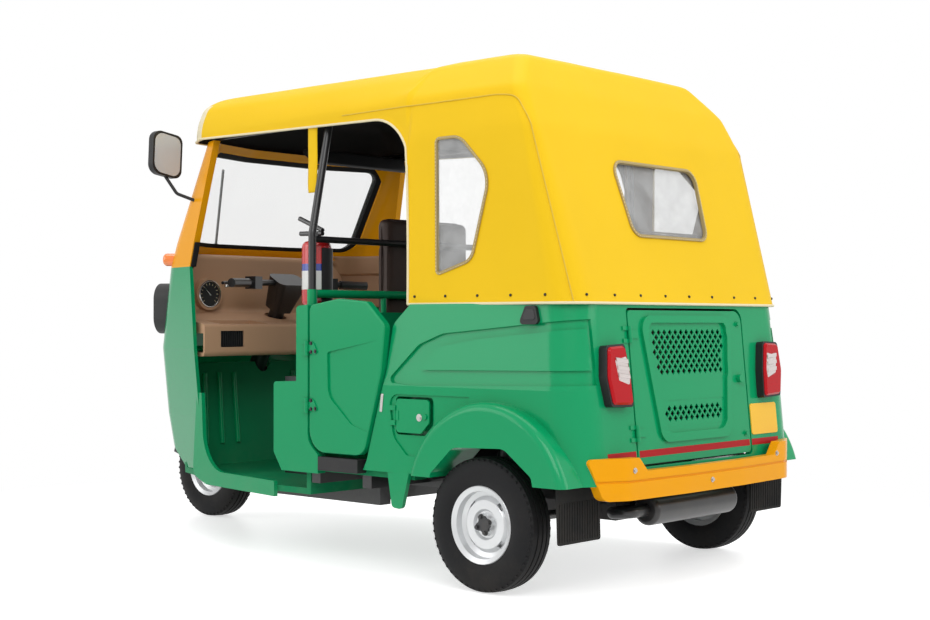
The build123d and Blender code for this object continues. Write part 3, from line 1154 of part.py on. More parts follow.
# Steered front end: fork, spring legs, mudguard, column and handlebar
FORK_Y = 76
FORK_R = 15
SPRING_R = 21
CROWN_Z = 468
COLUMN_JOINT_Z = 790
crown = steer_point(CROWN_Z)
fork = rod(steer_point(CROWN_Z - 12), steer_point(COLUMN_JOINT_Z), COLUMN_R)
fork = fork + rod((crown[0], -FORK_Y, CROWN_Z), (crown[0], FORK_Y, CROWN_Z), 20)
fork = fork + rod((FA, -FORK_Y - 24, TYRE_RADIUS), (FA, FORK_Y + 24, TYRE_RADIUS), FRONT_AXLE_R)
for y in (-FORK_Y, FORK_Y):
    fork = fork + rod((crown[0], y, CROWN_Z), (FA - 60, y, 235), FORK_R)
    fork = fork + rod((FA - 66, y, 230), (FA, y, TYRE_RADIUS), FORK_R - 2)
    fork = fork + rod((crown[0] + 20, y, CROWN_Z), (FA - 8, y, TYRE_RADIUS + 24), SPRING_R)
    fork = fork + Pos(crown[0], y, CROWN_Z) * Sphere(FORK_R + 7)
    fork = fork + rod((FA, y - 14, TYRE_RADIUS), (FA, y + 14, TYRE_RADIUS), 20)
add("front_fork", fork)

GUARD_IN_R = TYRE_RADIUS + 18
GUARD_T = 5
GUARD_HALF = 58
GUARD_SKIRT = 46
GUARD_CHAMFER = 14
GUARD_ARC = 150
guard_half = [
    (GUARD_HALF, -GUARD_SKIRT), (GUARD_HALF + GUARD_T, -GUARD_SKIRT),
    (GUARD_HALF + GUARD_T, GUARD_T - GUARD_CHAMFER), (40, GUARD_T),
]
guard_under = [(-38, 0), (-GUARD_HALF, -GUARD_CHAMFER)]
guard_section = [
    *guard_half, *[(-y, r) for y, r in reversed(guard_half)],
    *[(y, r) for y, r in reversed(guard_under)], *[(-y, r) for y, r in guard_under],
]
guard_end = math.degrees(math.asin(FRONT_OVERHANG / (GUARD_IN_R + GUARD_T)))
guard = revolve(Plane.YZ * make_face(Polyline(*[(y, GUARD_IN_R + r) for y, r in guard_section], close=True)),
                Axis.Y, GUARD_ARC)
add("front_mudguard", Pos(FA, 0, TYRE_RADIUS) * Rot(0, guard_end - GUARD_ARC, 0) * guard - fork)

BAR_Z = STEER_TOP[2]
BAR_HALF = 350
BAR_SWEEP = 95
BAR_R = 12
GRIP_R = 17
GRIP_SHARE = 0.45     # of the bar's straight run
BLOCK_SHARE = 0.62
SHROUD_LOW_Z = 850
bar_tip = (STEER_TOP[0] - BAR_SWEEP, BAR_HALF, BAR_Z + 14)
bar_bend = (STEER_TOP[0] - 10, 105, BAR_Z + 20)
bar_left = [bar_tip, bar_bend]
handlebar = tube([*bar_left, *[(x, -y, z) for x, y, z in reversed(bar_left)]], BAR_R, 60)
handlebar = handlebar + rod(steer_point(COLUMN_JOINT_Z), steer_point(BAR_Z - 8), COLUMN_R + 8)
steer_dir = Vector(*STEER_TOP) - Vector(*STEER_LOW)
handlebar = handlebar + loft([
    Plane(origin=steer_point(SHROUD_LOW_Z), z_dir=steer_dir) * RectangleRounded(80, 90, 20),
    Plane(origin=steer_point(BAR_Z + 34), z_dir=steer_dir) * RectangleRounded(96, 150, 26),
], ruled=True)
block = between(bar_tip, bar_bend, BLOCK_SHARE)
lever = tube([
    (block[0] + 20, block[1], block[2] + 6), (block[0] + 48, block[1] + 20, block[2] + 6),
    (bar_tip[0] + 52, bar_tip[1], bar_tip[2]),
], 6, 12)
controls = rod(bar_tip, between(bar_tip, bar_bend, GRIP_SHARE), GRIP_R) + lever
controls = controls + Pos(*block) * Rot(0, 0, 18) * Box(46, 50, 48)
add("handlebar", (handlebar + controls + mirrored(controls)) - fork)

# Trim: side vents and fire extinguisher
VENT_OUT = 12
VENT = [(RA - 118, 790, 12), (RA - 192, 790, 12), (RA - 174, 844, 10), (RA - 138, 844, 10)]
vent_levels = [(z, front_in - VENT_OUT, rear_in - VENT_OUT) for z, front_in, rear_in in TUB_LEVELS]
side_vent = side_prism(VENT, SIDE_Y - 120, BEYOND) & stack(vent_levels, tub_outline(0, 0))
add("side_vents", both_sides(side_vent - tub_outer - PARTS["canopy"]))

EXT_R = 50
EXT_X = PARTITION_X + RAIL_R + TOUCH + EXT_R
EXT_Y = SIDE_Y - 120
EXT_LOW_Z = 846
EXT_TOP_Z = 1070
EXT_NECK_Z = EXT_TOP_Z + 30
bottle = fillet(rod((EXT_X, EXT_Y, EXT_LOW_Z), (EXT_X, EXT_Y, EXT_TOP_Z), EXT_R).edges(), 22)
neck = rod((EXT_X, EXT_Y, EXT_TOP_Z - 10), (EXT_X, EXT_Y, EXT_NECK_Z), 16)
upper_grip = rod((EXT_X - 30, EXT_Y, EXT_NECK_Z + 5), (EXT_X + 85, EXT_Y, EXT_NECK_Z + 50), 8)
lower_grip = rod((EXT_X - 30, EXT_Y, EXT_NECK_Z - 5), (EXT_X + 80, EXT_Y, EXT_NECK_Z - 2), 8)
add("fire_extinguisher", bottle + neck + upper_grip + lower_grip)

os.makedirs("parts", exist_ok=True)
for name, shape in PARTS.items():
    export_step(shape if isinstance(shape, Compound) else Compound(shape.solids()), f"parts/{name}.step")
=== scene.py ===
import json
import math

import bmesh
import bpy
from mathutils import Matrix, Vector, noise


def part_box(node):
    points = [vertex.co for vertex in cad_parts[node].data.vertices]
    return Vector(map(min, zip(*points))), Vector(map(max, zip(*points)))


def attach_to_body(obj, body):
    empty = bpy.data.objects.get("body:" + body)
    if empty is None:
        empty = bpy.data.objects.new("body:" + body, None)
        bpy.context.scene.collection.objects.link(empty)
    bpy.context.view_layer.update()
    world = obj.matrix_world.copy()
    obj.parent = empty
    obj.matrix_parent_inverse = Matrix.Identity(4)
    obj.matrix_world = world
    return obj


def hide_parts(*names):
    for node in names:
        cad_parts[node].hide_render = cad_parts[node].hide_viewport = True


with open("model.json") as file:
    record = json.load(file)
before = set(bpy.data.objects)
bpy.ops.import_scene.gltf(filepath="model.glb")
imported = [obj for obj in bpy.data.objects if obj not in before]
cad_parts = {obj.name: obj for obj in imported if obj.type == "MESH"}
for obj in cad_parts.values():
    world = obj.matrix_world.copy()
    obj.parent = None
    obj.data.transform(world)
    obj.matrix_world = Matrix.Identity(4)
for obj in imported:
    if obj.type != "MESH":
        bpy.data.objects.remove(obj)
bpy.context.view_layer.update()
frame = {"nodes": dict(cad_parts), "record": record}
cadNodes = frame["nodes"]
# stations of the two axles, and the tub's half width
rearAxle, frontAxle, sideY = -0.8975, 1.1025, 0.62
print("frame loaded:", len(cadNodes), "nodes")


# node helpers, for shaders and for Geometry Nodes: a socket takes a link or a plain value

def link(tree, value, socket):
    if isinstance(value, bpy.types.NodeSocket):
        tree.links.new(value, socket)
    else:
        socket.default_value = value


def setInputs(tree, node, values):
    for label, value in values.items():
        link(tree, value, node.inputs[label])


def newNode(tree, kind, values, **settings):
    node = tree.nodes.new(kind)
    for label, value in settings.items():
        setattr(node, label, value)
    setInputs(tree, node, values)
    return node


def noiseNode(tree, vector, scale, detail=3.0, rough=0.5):
    values = {"Vector": vector, "Scale": scale, "Detail": detail, "Roughness": rough}
    return newNode(tree, "ShaderNodeTexNoise", values).outputs[0]


def rampNode(tree, factor, stops, steps=False):
    node = newNode(tree, "ShaderNodeValToRGB", {"Fac": factor})
    ramp = node.color_ramp
    ramp.interpolation = "CONSTANT" if steps else "LINEAR"
    while len(ramp.elements) < len(stops):
        ramp.elements.new(0.5)
    for element, (place, colour) in zip(ramp.elements, stops):
        element.position = place
        element.color = (*colour, 1)
    return node.outputs[0]


def maskNode(tree, factor, low, high):
    return rampNode(tree, factor, [(low, (0, 0, 0)), (high, (1, 1, 1))])


def mathNode(tree, operation, a, b):
    node = newNode(tree, "ShaderNodeMath", {}, operation=operation)
    link(tree, a, node.inputs[0])
    link(tree, b, node.inputs[1])
    return node.outputs[0]


def rangeNode(tree, value, low, high, toLow=0.0, toHigh=1.0):
    values = {"Value": value, "From Min": low, "From Max": high, "To Min": toLow, "To Max": toHigh}
    return newNode(tree, "ShaderNodeMapRange", values, interpolation_type="SMOOTHSTEP").outputs[0]


def mixColour(tree, factor, a, b, blend="MIX"):
    node = newNode(tree, "ShaderNodeMix", {}, data_type="RGBA", blend_type=blend)
    # a mix node's factor and its two colours are told apart by number, not by name
    for number, value in ((0, factor), (6, a), (7, b)):
        link(tree, value, node.inputs[number])
    return node.outputs[2]


def heightOf(tree, vector):
    return newNode(tree, "ShaderNodeSeparateXYZ", {"Vector": vector}).outputs[2]


def newGroup(name, inputs, outputs):
    group = bpy.data.node_groups.new(name, "ShaderNodeTree")
    for label, kind, value in inputs:
        socket = group.interface.new_socket(label, in_out="INPUT", socket_type="NodeSocket" + kind)
        socket.default_value = value
    for label, kind in outputs:
        group.interface.new_socket(label, in_out="OUTPUT", socket_type="NodeSocket" + kind)
    return group, group.nodes.new("NodeGroupInput").outputs, group.nodes.new("NodeGroupOutput").inputs


# shader groups shared by the materials

surfaceForm = {
    "broadScale": 2.3, "fineScale": 160, "patchScale": 9, "shade": (0.82, 0.82, 0.82, 1), "cloud": 0.08,
    "dustHeight": 0.45, "dustColour": (0.32, 0.27, 0.21, 1), "dustRoughness": 0.6,
}


def makeSurfaceGroup(cfg):
    # broad tone, fine speckle and road dust near the ground, for any painted or moulded surface
    group, start, end = newGroup("surfaceTone", [
        ("Vector", "Vector", (0, 0, 0)), ("Colour", "Color", (0.5, 0.5, 0.5, 1)),
        ("Tone", "Float", 0.06), ("Dust", "Float", 0.15), ("Rough", "Float", 0.3),
    ], [("Colour", "Color"), ("Roughness", "Float"), ("Height", "Float")])
    vector, base = start["Vector"], start["Colour"]
    broad = noiseNode(group, vector, cfg["broadScale"], 4)
    shade = mixColour(group, 1.0, base, cfg["shade"], "MULTIPLY")
    tone = mathNode(group, "MULTIPLY", maskNode(group, broad, 0.3, 0.7), start["Tone"])
    toned = mixColour(group, tone, base, shade)
    low = rangeNode(group, heightOf(group, vector), 0.0, cfg["dustHeight"], 1.0, 0.0)
    patch = maskNode(group, noiseNode(group, vector, cfg["patchScale"], 6, 0.7), 0.42, 0.75)
    dust = mathNode(group, "MULTIPLY", mathNode(group, "MULTIPLY", low, patch), start["Dust"])
    link(group, mixColour(group, dust, toned, cfg["dustColour"]), end["Colour"])
    dusty = mathNode(group, "MULTIPLY", dust, cfg["dustRoughness"])
    cloud = mathNode(group, "MULTIPLY", mathNode(group, "SUBTRACT", broad, 0.5), cfg["cloud"])
    rough = mathNode(group, "ADD", start["Rough"], dusty)
    link(group, mathNode(group, "ADD", rough, cloud), end["Roughness"])
    link(group, noiseNode(group, vector, cfg["fineScale"]), end["Height"])
    return group


def makeWeaveGroup():
    # plain weave of a coated cloth, from two crossed waves on the piece's own UV map
    group, start, end = newGroup("clothWeave", [("Vector", "Vector", (0, 0, 0)), ("Threads", "Float", 200.0)],
                                 [("Height", "Float"), ("Mask", "Float")])
    waves = []
    for direction in ("X", "Y"):
        values = {"Vector": start["Vector"], "Scale": start["Threads"], "Distortion": 0.4, "Detail": 1}
        wave = newNode(group, "ShaderNodeTexWave", values, bands_direction=direction)
        waves.append(wave.outputs[1])
    link(group, mathNode(group, "MULTIPLY", *waves), end["Height"])
    link(group, mathNode(group, "ADD", *waves), end["Mask"])
    return group


def makeGrainGroup():
    # pebbled grain of vinyl and moulded plastic
    group, start, end = newGroup("pebbleGrain", [("Vector", "Vector", (0, 0, 0)), ("Scale", "Float", 400.0)],
                                 [("Height", "Float")])
    cells = newNode(group, "ShaderNodeTexVoronoi", {"Vector": start["Vector"], "Scale": start["Scale"]})
    peaks = rampNode(group, cells.outputs["Distance"], [(0.1, (1, 1, 1)), (0.6, (0, 0, 0))])
    link(group, peaks, end["Height"])
    return group


surfaceGroup = makeSurfaceGroup(surfaceForm)
weaveGroup = makeWeaveGroup()
grainGroup = makeGrainGroup()


# materials

def newMaterial(name):
    material = bpy.data.materials.new(name)
    material.use_nodes = True
    tree = material.node_tree
    shader = next(n for n in tree.nodes if n.type == "BSDF_PRINCIPLED")
    return material, tree, shader, tree.nodes.new("ShaderNodeTexCoord").outputs


def groupNode(tree, group, **values):
    return newNode(tree, "ShaderNodeGroup", values, node_tree=group).outputs


def bumpInto(tree, shader, height, strength, distance):
    bump = newNode(tree, "ShaderNodeBump", {"Strength": strength, "Distance": distance, "Height": height})
    link(tree, bump.outputs[0], shader.inputs["Normal"])


def colourBands(tree, vector, bands):
    # bands up the piece: the height where each starts, and its colour; the ramp's whole length stands for 2 m
    share = mathNode(tree, "MULTIPLY", heightOf(tree, vector), 0.5)
    return rampNode(tree, share, [(z * 0.5, colour) for z, colour in bands], steps=True)


def paintMaterial(name, colour, rough=0.22, coat=0.5, metallic=0.0, specular=0.5, tone=0.1, dust=0.12,
                  peel=0.03, bands=None):
    material, tree, shader, coords = newMaterial(name)
    place = coords["Object"]
    base = colourBands(tree, place, bands) if bands else (*colour, 1)
    surface = groupNode(tree, surfaceGroup, Vector=place, Colour=base, Tone=tone, Dust=dust, Rough=rough)
    setInputs(tree, shader, {
        "Base Color": surface["Colour"], "Roughness": surface["Roughness"], "Metallic": metallic,
        "Coat Weight": coat, "Coat Roughness": 0.06, "Specular IOR Level": specular})
    bumpInto(tree, shader, surface["Height"], peel, 0.0005)
    return material


def mouldedMaterial(name, colour, rough=0.5, grain=500.0, strength=0.12, dust=0.15, tone=0.12, specular=0.3):
    material, tree, shader, coords = newMaterial(name)
    place = coords["Object"]
    base = (*colour, 1)
    surface = groupNode(tree, surfaceGroup, Vector=place, Colour=base, Tone=tone, Dust=dust, Rough=rough)
    setInputs(tree, shader, {
        "Base Color": surface["Colour"], "Roughness": surface["Roughness"], "Specular IOR Level": specular})
    pebbles = groupNode(tree, grainGroup, Vector=place, Scale=grain)
    bumpInto(tree, shader, pebbles["Height"], strength, 0.0006)
    return material


clothForm = {
    "rough": 0.6, "fading": 0.25, "sheen": 0.05, "specular": 0.15, "threadTint": 0.04, "threadHeight": 0.04,
    "creaseScale": 7, "creaseStrength": 0.15, "creaseHeight": 0.02,
}


def clothMaterial(name, colour, threads=200.0):
    # coated cloth: weave on the UV map, broad creases and a little fading from the object's own place
    cfg = clothForm
    material, tree, shader, coords = newMaterial(name)
    place = coords["Object"]
    surface = groupNode(tree, surfaceGroup, Vector=place, Colour=(*colour, 1), Tone=cfg["fading"], Dust=0.0,
                        Rough=cfg["rough"])
    weave = groupNode(tree, weaveGroup, Vector=coords["UV"], Threads=threads)
    tint = mathNode(tree, "MULTIPLY", weave["Mask"], cfg["threadTint"])
    threadColour = (colour[0], colour[1] * 1.05, colour[2] * 2.5, 1)
    setInputs(tree, shader, {
        "Base Color": mixColour(tree, tint, surface["Colour"], threadColour),
        "Roughness": surface["Roughness"], "Sheen Weight": cfg["sheen"],
        "Specular IOR Level": cfg["specular"]})
    crease = noiseNode(tree, place, cfg["creaseScale"], 2, 0.4)
    height = mathNode(tree, "ADD", mathNode(tree, "MULTIPLY", weave["Height"], cfg["threadHeight"]), crease)
    bumpInto(tree, shader, height, cfg["creaseStrength"], cfg["creaseHeight"])
    return material


def glassMaterial(name, colour, alpha, rough=0.0, haze=0.0):
    material, tree, shader, coords = newMaterial(name)
    setInputs(tree, shader, {"Base Color": (*colour, 1), "Roughness": rough, "IOR": 1.45, "Alpha": alpha})
    if haze:
        cloud = noiseNode(tree, coords["Object"], 14, 4)
        link(tree, rangeNode(tree, cloud, 0.3, 0.7, alpha - haze, alpha + haze), shader.inputs["Alpha"])
    return material


bodyGreen = paintMaterial("bodyGreen", (0.002, 0.305, 0.112), rough=0.2, coat=0.16, specular=0.18)
floorGreen = paintMaterial("floorGreen", (0.003, 0.22, 0.085), rough=0.5, coat=0.0, specular=0.12, dust=0.2)
frameOrange = paintMaterial("frameOrange", (0.86, 0.36, 0.004), coat=0.0, specular=0.1, dust=0.1)
blackPaint = paintMaterial("blackPaint", (0.012, 0.012, 0.013), rough=0.35, coat=0.2)
beigePlastic = mouldedMaterial("beigePlastic", (0.50, 0.30, 0.18), dust=0.0)
wiperGrey = mouldedMaterial("wiperGrey", (0.24, 0.25, 0.26), rough=0.45)
blackPlastic = mouldedMaterial("blackPlastic", (0.016, 0.016, 0.017), rough=0.45)
podCharcoal = mouldedMaterial("podCharcoal", (0.035, 0.035, 0.036))
blackRubber = mouldedMaterial("blackRubber", (0.013, 0.013, 0.013), rough=0.65, grain=250, dust=0.1,
                              specular=0.15)
tyreRubber = mouldedMaterial("tyreRubber", (0.011, 0.011, 0.012), rough=0.6, grain=300, dust=0.05,
                             specular=0.15)
rimSilver = paintMaterial("rimSilver", (0.66, 0.67, 0.68), rough=0.32, coat=0.15, metallic=0.45, dust=0.1)
castMetal = paintMaterial("castMetal", (0.05, 0.05, 0.052), rough=0.5, coat=0.0, metallic=0.5, dust=0.2)
boltSteel = paintMaterial("boltSteel", (0.55, 0.54, 0.52), rough=0.25, coat=0.0, metallic=1.0, dust=0.2)
plateYellow = paintMaterial("plateYellow", (0.88, 0.50, 0.012), rough=0.35, coat=0.1)
canvasYellow = clothMaterial("canvasYellow", (0.84, 0.53, 0.006))
seamYellow = clothMaterial("seamYellow", (0.70, 0.48, 0.05), threads=400)
pipingCream = clothMaterial("pipingCream", (0.78, 0.70, 0.46), threads=400)
bindingTan = clothMaterial("bindingTan", (0.40, 0.30, 0.13), threads=400)
liningBeige = clothMaterial("liningBeige", (0.36, 0.27, 0.19), threads=300)
liningDark = clothMaterial("liningDark", (0.022, 0.02, 0.018), threads=300)
seatBrown = mouldedMaterial("seatBrown", (0.055, 0.034, 0.027), rough=0.48, grain=260, strength=0.2, dust=0)
seatRose = mouldedMaterial("seatRose", (0.16, 0.095, 0.085), rough=0.42, grain=260, strength=0.2, dust=0)
clearGlass = glassMaterial("clearGlass", (0.85, 0.93, 0.92), alpha=0.10)
clearFilm = glassMaterial("clearFilm", (0.80, 0.81, 0.81), alpha=0.22, rough=0.2, haze=0.05)
lampClear = glassMaterial("lampClear", (0.92, 0.95, 0.96), alpha=0.18, rough=0.03)
redLens = paintMaterial("redLens", (0.46, 0.003, 0.008), rough=0.12, coat=0.08, specular=0.15, dust=0)
lensClear = paintMaterial("lensClear", (0.62, 0.55, 0.53), rough=0.1, coat=1.0, dust=0, metallic=0.3)
tapeRed = paintMaterial("tapeRed", (0.42, 0.008, 0.012), rough=0.35, coat=0.0, specular=0.15, dust=0.05,
                        tone=0.5)
orangeLens = paintMaterial("orangeLens", (0.9, 0.22, 0.01), rough=0.12, coat=1.0, dust=0)
# mirror glass as an even light grey paint: a painted reflection of the bright surroundings, in place of a
# reflecting mirror
mirrorPaintedReflection = paintMaterial("mirrorPaintedReflection", (0.50, 0.51, 0.52), rough=0.25, coat=0.5, dust=0, peel=0)
red, white, blue, black = (0.55, 0.012, 0.015), (0.7, 0.7, 0.68), (0.03, 0.06, 0.35), (0.012, 0.012, 0.013)
extinguisherRed = paintMaterial("extinguisherRed", red, rough=0.2, dust=0, bands=[
    (0.0, red), (0.905, white), (0.965, blue), (0.99, red), (1.066, black)])

# the part's material slots, and the solids with a finish of their own
finishOf = {
    "body_green": bodyGreen, "frame_orange": frameOrange, "canvas_yellow": canvasYellow,
    "beige_plastic": beigePlastic, "seat_brown": seatBrown, "black_metal": blackPaint,
    "black_plastic": blackPlastic, "black_rubber": blackRubber, "floor_grey": floorGreen,
    "tyre_black": tyreRubber, "steel_rim": rimSilver, "clear_glass": clearGlass, "clear_film": clearFilm,
    "red_lens": blackPlastic, "orange_lens": orangeLens, "mirror": mirrorPaintedReflection, "cast_metal": castMetal,
    "red_paint": extinguisherRed, "plate_yellow": plateYellow,
}
ownFinish = {"headlamp_lenses": lampClear, "headlamp_bezels": podCharcoal, "wiper": wiperGrey}
for part in frame["record"]["subparts"]:
    node = cadNodes[part["node"]]
    node.data.materials.clear()
    node.data.materials.append(ownFinish.get(part["node"], finishOf[part["material_slot"]]))
print("materials on", len(cadNodes), "solids")


# building helpers

def addObject(name, data):
    piece = bpy.data.objects.new(name, data)
    bpy.context.scene.collection.objects.link(piece)
    return piece


def meshOf(bm, name):
    mesh = bpy.data.meshes.new(name)
    bm.to_mesh(mesh)
    bm.free()
    return mesh


def dress(mesh, materials):
    for material in materials:
        mesh.materials.append(material)
    mesh.polygons.foreach_set("use_smooth", [True] * len(mesh.polygons))


def attach(piece, body, sharpAngle):
    piece.data.set_sharp_from_angle(angle=math.radians(sharpAngle))
    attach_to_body(piece, body)
    return piece


def newPiece(name, bm, materials, body, sharpAngle=40):
    mesh = meshOf(bm, name)
    dress(mesh, materials)
    return attach(addObject(name, mesh), body, sharpAngle)


def bake(piece):
    # the evaluated form becomes the piece's own mesh, and the modifiers go
    graph = bpy.context.evaluated_depsgraph_get()
    mesh = bpy.data.meshes.new_from_object(piece.evaluated_get(graph))
    mesh.name = piece.name
    piece.modifiers.clear()
    piece.data = mesh


def thicken(piece, thickness, offset=0):
    wall = piece.modifiers.new("wall", "SOLIDIFY")
    wall.thickness = thickness
    wall.offset = offset
    return wall


def rounded(points, steps=6):
    # closed outline of (u, v, corner radius) as plain points
    outline = []
    for i, (u, v, r) in enumerate(points):
        here = Vector((u, v))
        back = Vector(points[i - 1][:2]) - here
        on = Vector(points[(i + 1) % len(points)][:2]) - here
        half = back.angle(on) / 2
        r = min(r, 0.49 * min(back.length, on.length) * math.tan(half))
        if r < 1e-5:
            outline.append((u, v))
            continue
        start = here + back.normalized() * r / math.tan(half)
        end = here + on.normalized() * r / math.tan(half)
        centre = here + (back.normalized() + on.normalized()).normalized() * r / math.sin(half)
        for k in range(steps + 1):
            ray = (start - centre).lerp(end - centre, k / steps).normalized() * r
            outline.append(tuple(centre + ray))
    return outline


def rectangle(low, high, r=0.0):
    return [(high[0], high[1], r), (low[0], high[1], r), (low[0], low[1], r), (high[0], low[1], r)]


def grownOutline(points, by):
    # each side of a closed outline moved out from its middle
    centre = Vector((sum(p[0] for p in points), sum(p[1] for p in points))) / len(points)
    moved = []
    for i, (u, v, *r) in enumerate(points):
        here = Vector((u, v))
        before, after = Vector(points[i - 1][:2]), Vector(points[(i + 1) % len(points)][:2])
        sides = []
        for a, b in ((before, here), (here, after)):
            n = Vector(((b - a).y, -(b - a).x)).normalized()
            sides.append(n if n.dot((a + b) / 2 - centre) > 0 else -n)
        place = here + (sides[0] + sides[1]) * by / (1 + sides[0].dot(sides[1]))
        moved.append((place.x, place.y, max(r[0] + by, 0.001)) if r else tuple(place))
    return moved


def ringInto(bm, outline, place, out):
    return [bm.verts.new(place(u, v, out)) for u, v in outline]


def bridge(bm, rings, around=False):
    # faces from each ring of points to the next, and back to the first where the rings run around
    faces = []
    for a, b in zip(rings, rings[1:] + (rings[:1] if around else [])):
        for i in range(len(a)):
            k = (i + 1) % len(a)
            faces.append(bm.faces.new((a[i], a[k], b[k], b[i])))
    return faces


def settle(bm, faces, index):
    bmesh.ops.recalc_face_normals(bm, faces=faces)
    for face in faces:
        face.material_index = index


def planePlace(origin, across, up, out):
    # a place from (u, v) on a plane and a depth off it, by the plane's origin and its three axes
    origin, across, up, out = (Vector(v) for v in (origin, across, up, out))

    def place(u, v, depth):
        return origin + across * u + up * v + out * depth
    return place


def leaningPlace(station, height, lean, side=1):
    # on a wall across the vehicle that leans forward from its foot
    norm = math.hypot(1, lean)
    foot = (rearAxle + station - height * lean, 0, 0)
    return planePlace(foot, (0, side, 0), (lean, 0, 1), (-1 / norm, 0, lean / norm))


def prism(bm, outline, place, low, high, edge=0.0, index=0):
    # outline in (u, v) from depth low to high, with a bevelled outer rim
    rings = [ringInto(bm, outline, place, low)]
    top = outline
    if edge:
        rings.append(ringInto(bm, outline, place, high - edge))
        top = grownOutline(outline, -edge)
    rings.append(ringInto(bm, top, place, high))
    caps = [bm.faces.new(rings[0]), bm.faces.new(rings[-1])]
    settle(bm, caps + bridge(bm, rings), index)


def plates(name, outline, places, cfg, material, body):
    # the same plate in each place, from its back to its face
    bm = bmesh.new()
    for place in places:
        prism(bm, outline, place, cfg["back"], cfg["face"], edge=cfg.get("bevel", 0.0))
    newPiece(name, bm, [material], body)


def circleOf(sides):
    turns = [2 * math.pi * k / sides for k in range(sides)]
    return [(math.cos(t), math.sin(t)) for t in turns]


def tubeInto(bm, path, radius, sides=8, closed=False, index=0):
    path = [Vector(p) for p in path]
    count = len(path)
    rings = []
    normal = None
    for i, p in enumerate(path):
        before = path[i - 1] if closed or i else p
        after = path[(i + 1) % count] if closed or i < count - 1 else p
        run = (after - before).normalized()
        if normal is None:
            normal = run.orthogonal().normalized()
        normal = (normal - run * normal.dot(run)).normalized()
        across = run.cross(normal)
        rings.append([bm.verts.new(p + (normal * u + across * v) * radius) for u, v in circleOf(sides)])
    faces = bridge(bm, rings, closed)
    if not closed:
        faces += [bm.faces.new(rings[0]), bm.faces.new(rings[-1])]
    settle(bm, faces, index)


def curveAt(before, a, b, after, t):
    return 0.5 * (a * 2 + (b - before) * t + (before * 2 - a * 5 + b * 4 - after) * t * t
                  + (a * 3 - before - b * 3 + after) * t ** 3)


def smoothPath(points, steps):
    # curve through the points, with even steps between them
    path = []
    for i in range(len(points) - 1):
        a, b = points[i], points[i + 1]
        before = points[i - 1] if i else a * 2 - b
        after = points[i + 2] if i + 2 < len(points) else b * 2 - a
        path += [curveAt(before, a, b, after, k / steps) for k in range(steps)]
    return path + [points[-1]]


def spotsAlong(run, pitch, start, outOf):
    # even places along a run, each with its outward axis and its heading
    spots = []
    d = start
    for a, b in zip(run, run[1:]):
        length = (b - a).length
        if length < 1e-6:
            continue
        along = (b - a) / length
        while d < length:
            spots.append((a + along * d, outOf(a, along), along))
            d += pitch
        d -= length
    return spots


# Geometry Nodes trees for what repeats: a shape of named sizes on each point, turned to the point's own axes

def newTree(name, inputs):
    tree = bpy.data.node_groups.new(name, "GeometryNodeTree")
    tree.interface.new_socket("Geometry", in_out="INPUT", socket_type="NodeSocketGeometry")
    for label, kind, value in inputs:
        socket = tree.interface.new_socket(label, in_out="INPUT", socket_type="NodeSocket" + kind)
        socket.default_value = value
    tree.interface.new_socket("Finish", in_out="INPUT", socket_type="NodeSocketMaterial")
    tree.interface.new_socket("Geometry", in_out="OUTPUT", socket_type="NodeSocketGeometry")
    return tree, tree.nodes.new("NodeGroupInput").outputs


def placeOnPoints(tree, start, shape):
    turn = newNode(tree, "FunctionNodeAxesToRotation", {}, primary_axis="Z", secondary_axis="X")
    for socket, label in zip(turn.inputs, ("aim", "along")):
        axis = newNode(tree, "GeometryNodeInputNamedAttribute", {"Name": label}, data_type="FLOAT_VECTOR")
        link(tree, axis.outputs["Attribute"], socket)
    put = newNode(tree, "GeometryNodeInstanceOnPoints", {
        "Points": start["Geometry"], "Instance": shape, "Rotation": turn.outputs[0]})
    real = newNode(tree, "GeometryNodeRealizeInstances", {"Geometry": put.outputs[0]})
    finish = newNode(tree, "GeometryNodeSetMaterial", {
        "Geometry": real.outputs[0], "Material": start["Finish"]})
    newNode(tree, "NodeGroupOutput", {"Geometry": finish.outputs[0]})
    return tree


def vectorOf(tree, x, y, z):
    return newNode(tree, "ShaderNodeCombineXYZ", {"X": x, "Y": y, "Z": z}).outputs[0]


def makeBoltTree():
    # washer with a six-sided head on it: sides, and radius, height and lift as shares of the head's
    tree, start = newTree("boltHeads", [
        ("Radius", "Float", 0.006), ("Height", "Float", 0.005), ("Sides", "Int", 6)])
    join = tree.nodes.new("GeometryNodeJoinGeometry")
    for sides, wide, tall, lift in ((16, 1.55, 0.3, 0.15), (start["Sides"], 1.0, 1.0, 0.6)):
        drum = newNode(tree, "GeometryNodeMeshCylinder", {
            "Vertices": sides, "Radius": mathNode(tree, "MULTIPLY", start["Radius"], wide),
            "Depth": mathNode(tree, "MULTIPLY", start["Height"], tall)})
        rise = vectorOf(tree, 0, 0, mathNode(tree, "MULTIPLY", start["Height"], lift))
        raised = newNode(tree, "GeometryNodeTransform", {
            "Geometry": drum.outputs["Mesh"], "Translation": rise})
        link(tree, raised.outputs[0], join.inputs[0])
    return placeOnPoints(tree, start, join.outputs[0])


blockSockets = [("Length", "Float", 0.01), ("Width", "Float", 0.01), ("Height", "Float", 0.01)]


def blockSize(length, width, height):
    return {"Length": length, "Width": width, "Height": height}


def makeDomeTree():
    # flattened bead: a rivet, or a stitch where it is longer than wide
    tree, start = newTree("beads", blockSockets)
    ball = newNode(tree, "GeometryNodeMeshUVSphere", {"Segments": 10, "Rings": 6, "Radius": 1.0})
    halves = [mathNode(tree, "MULTIPLY", start[label], share)
              for label, share in (("Length", 0.5), ("Width", 0.5), ("Height", 1.0))]
    bead = newNode(tree, "GeometryNodeTransform", {
        "Geometry": ball.outputs["Mesh"], "Scale": vectorOf(tree, *halves)})
    return placeOnPoints(tree, start, bead.outputs[0])


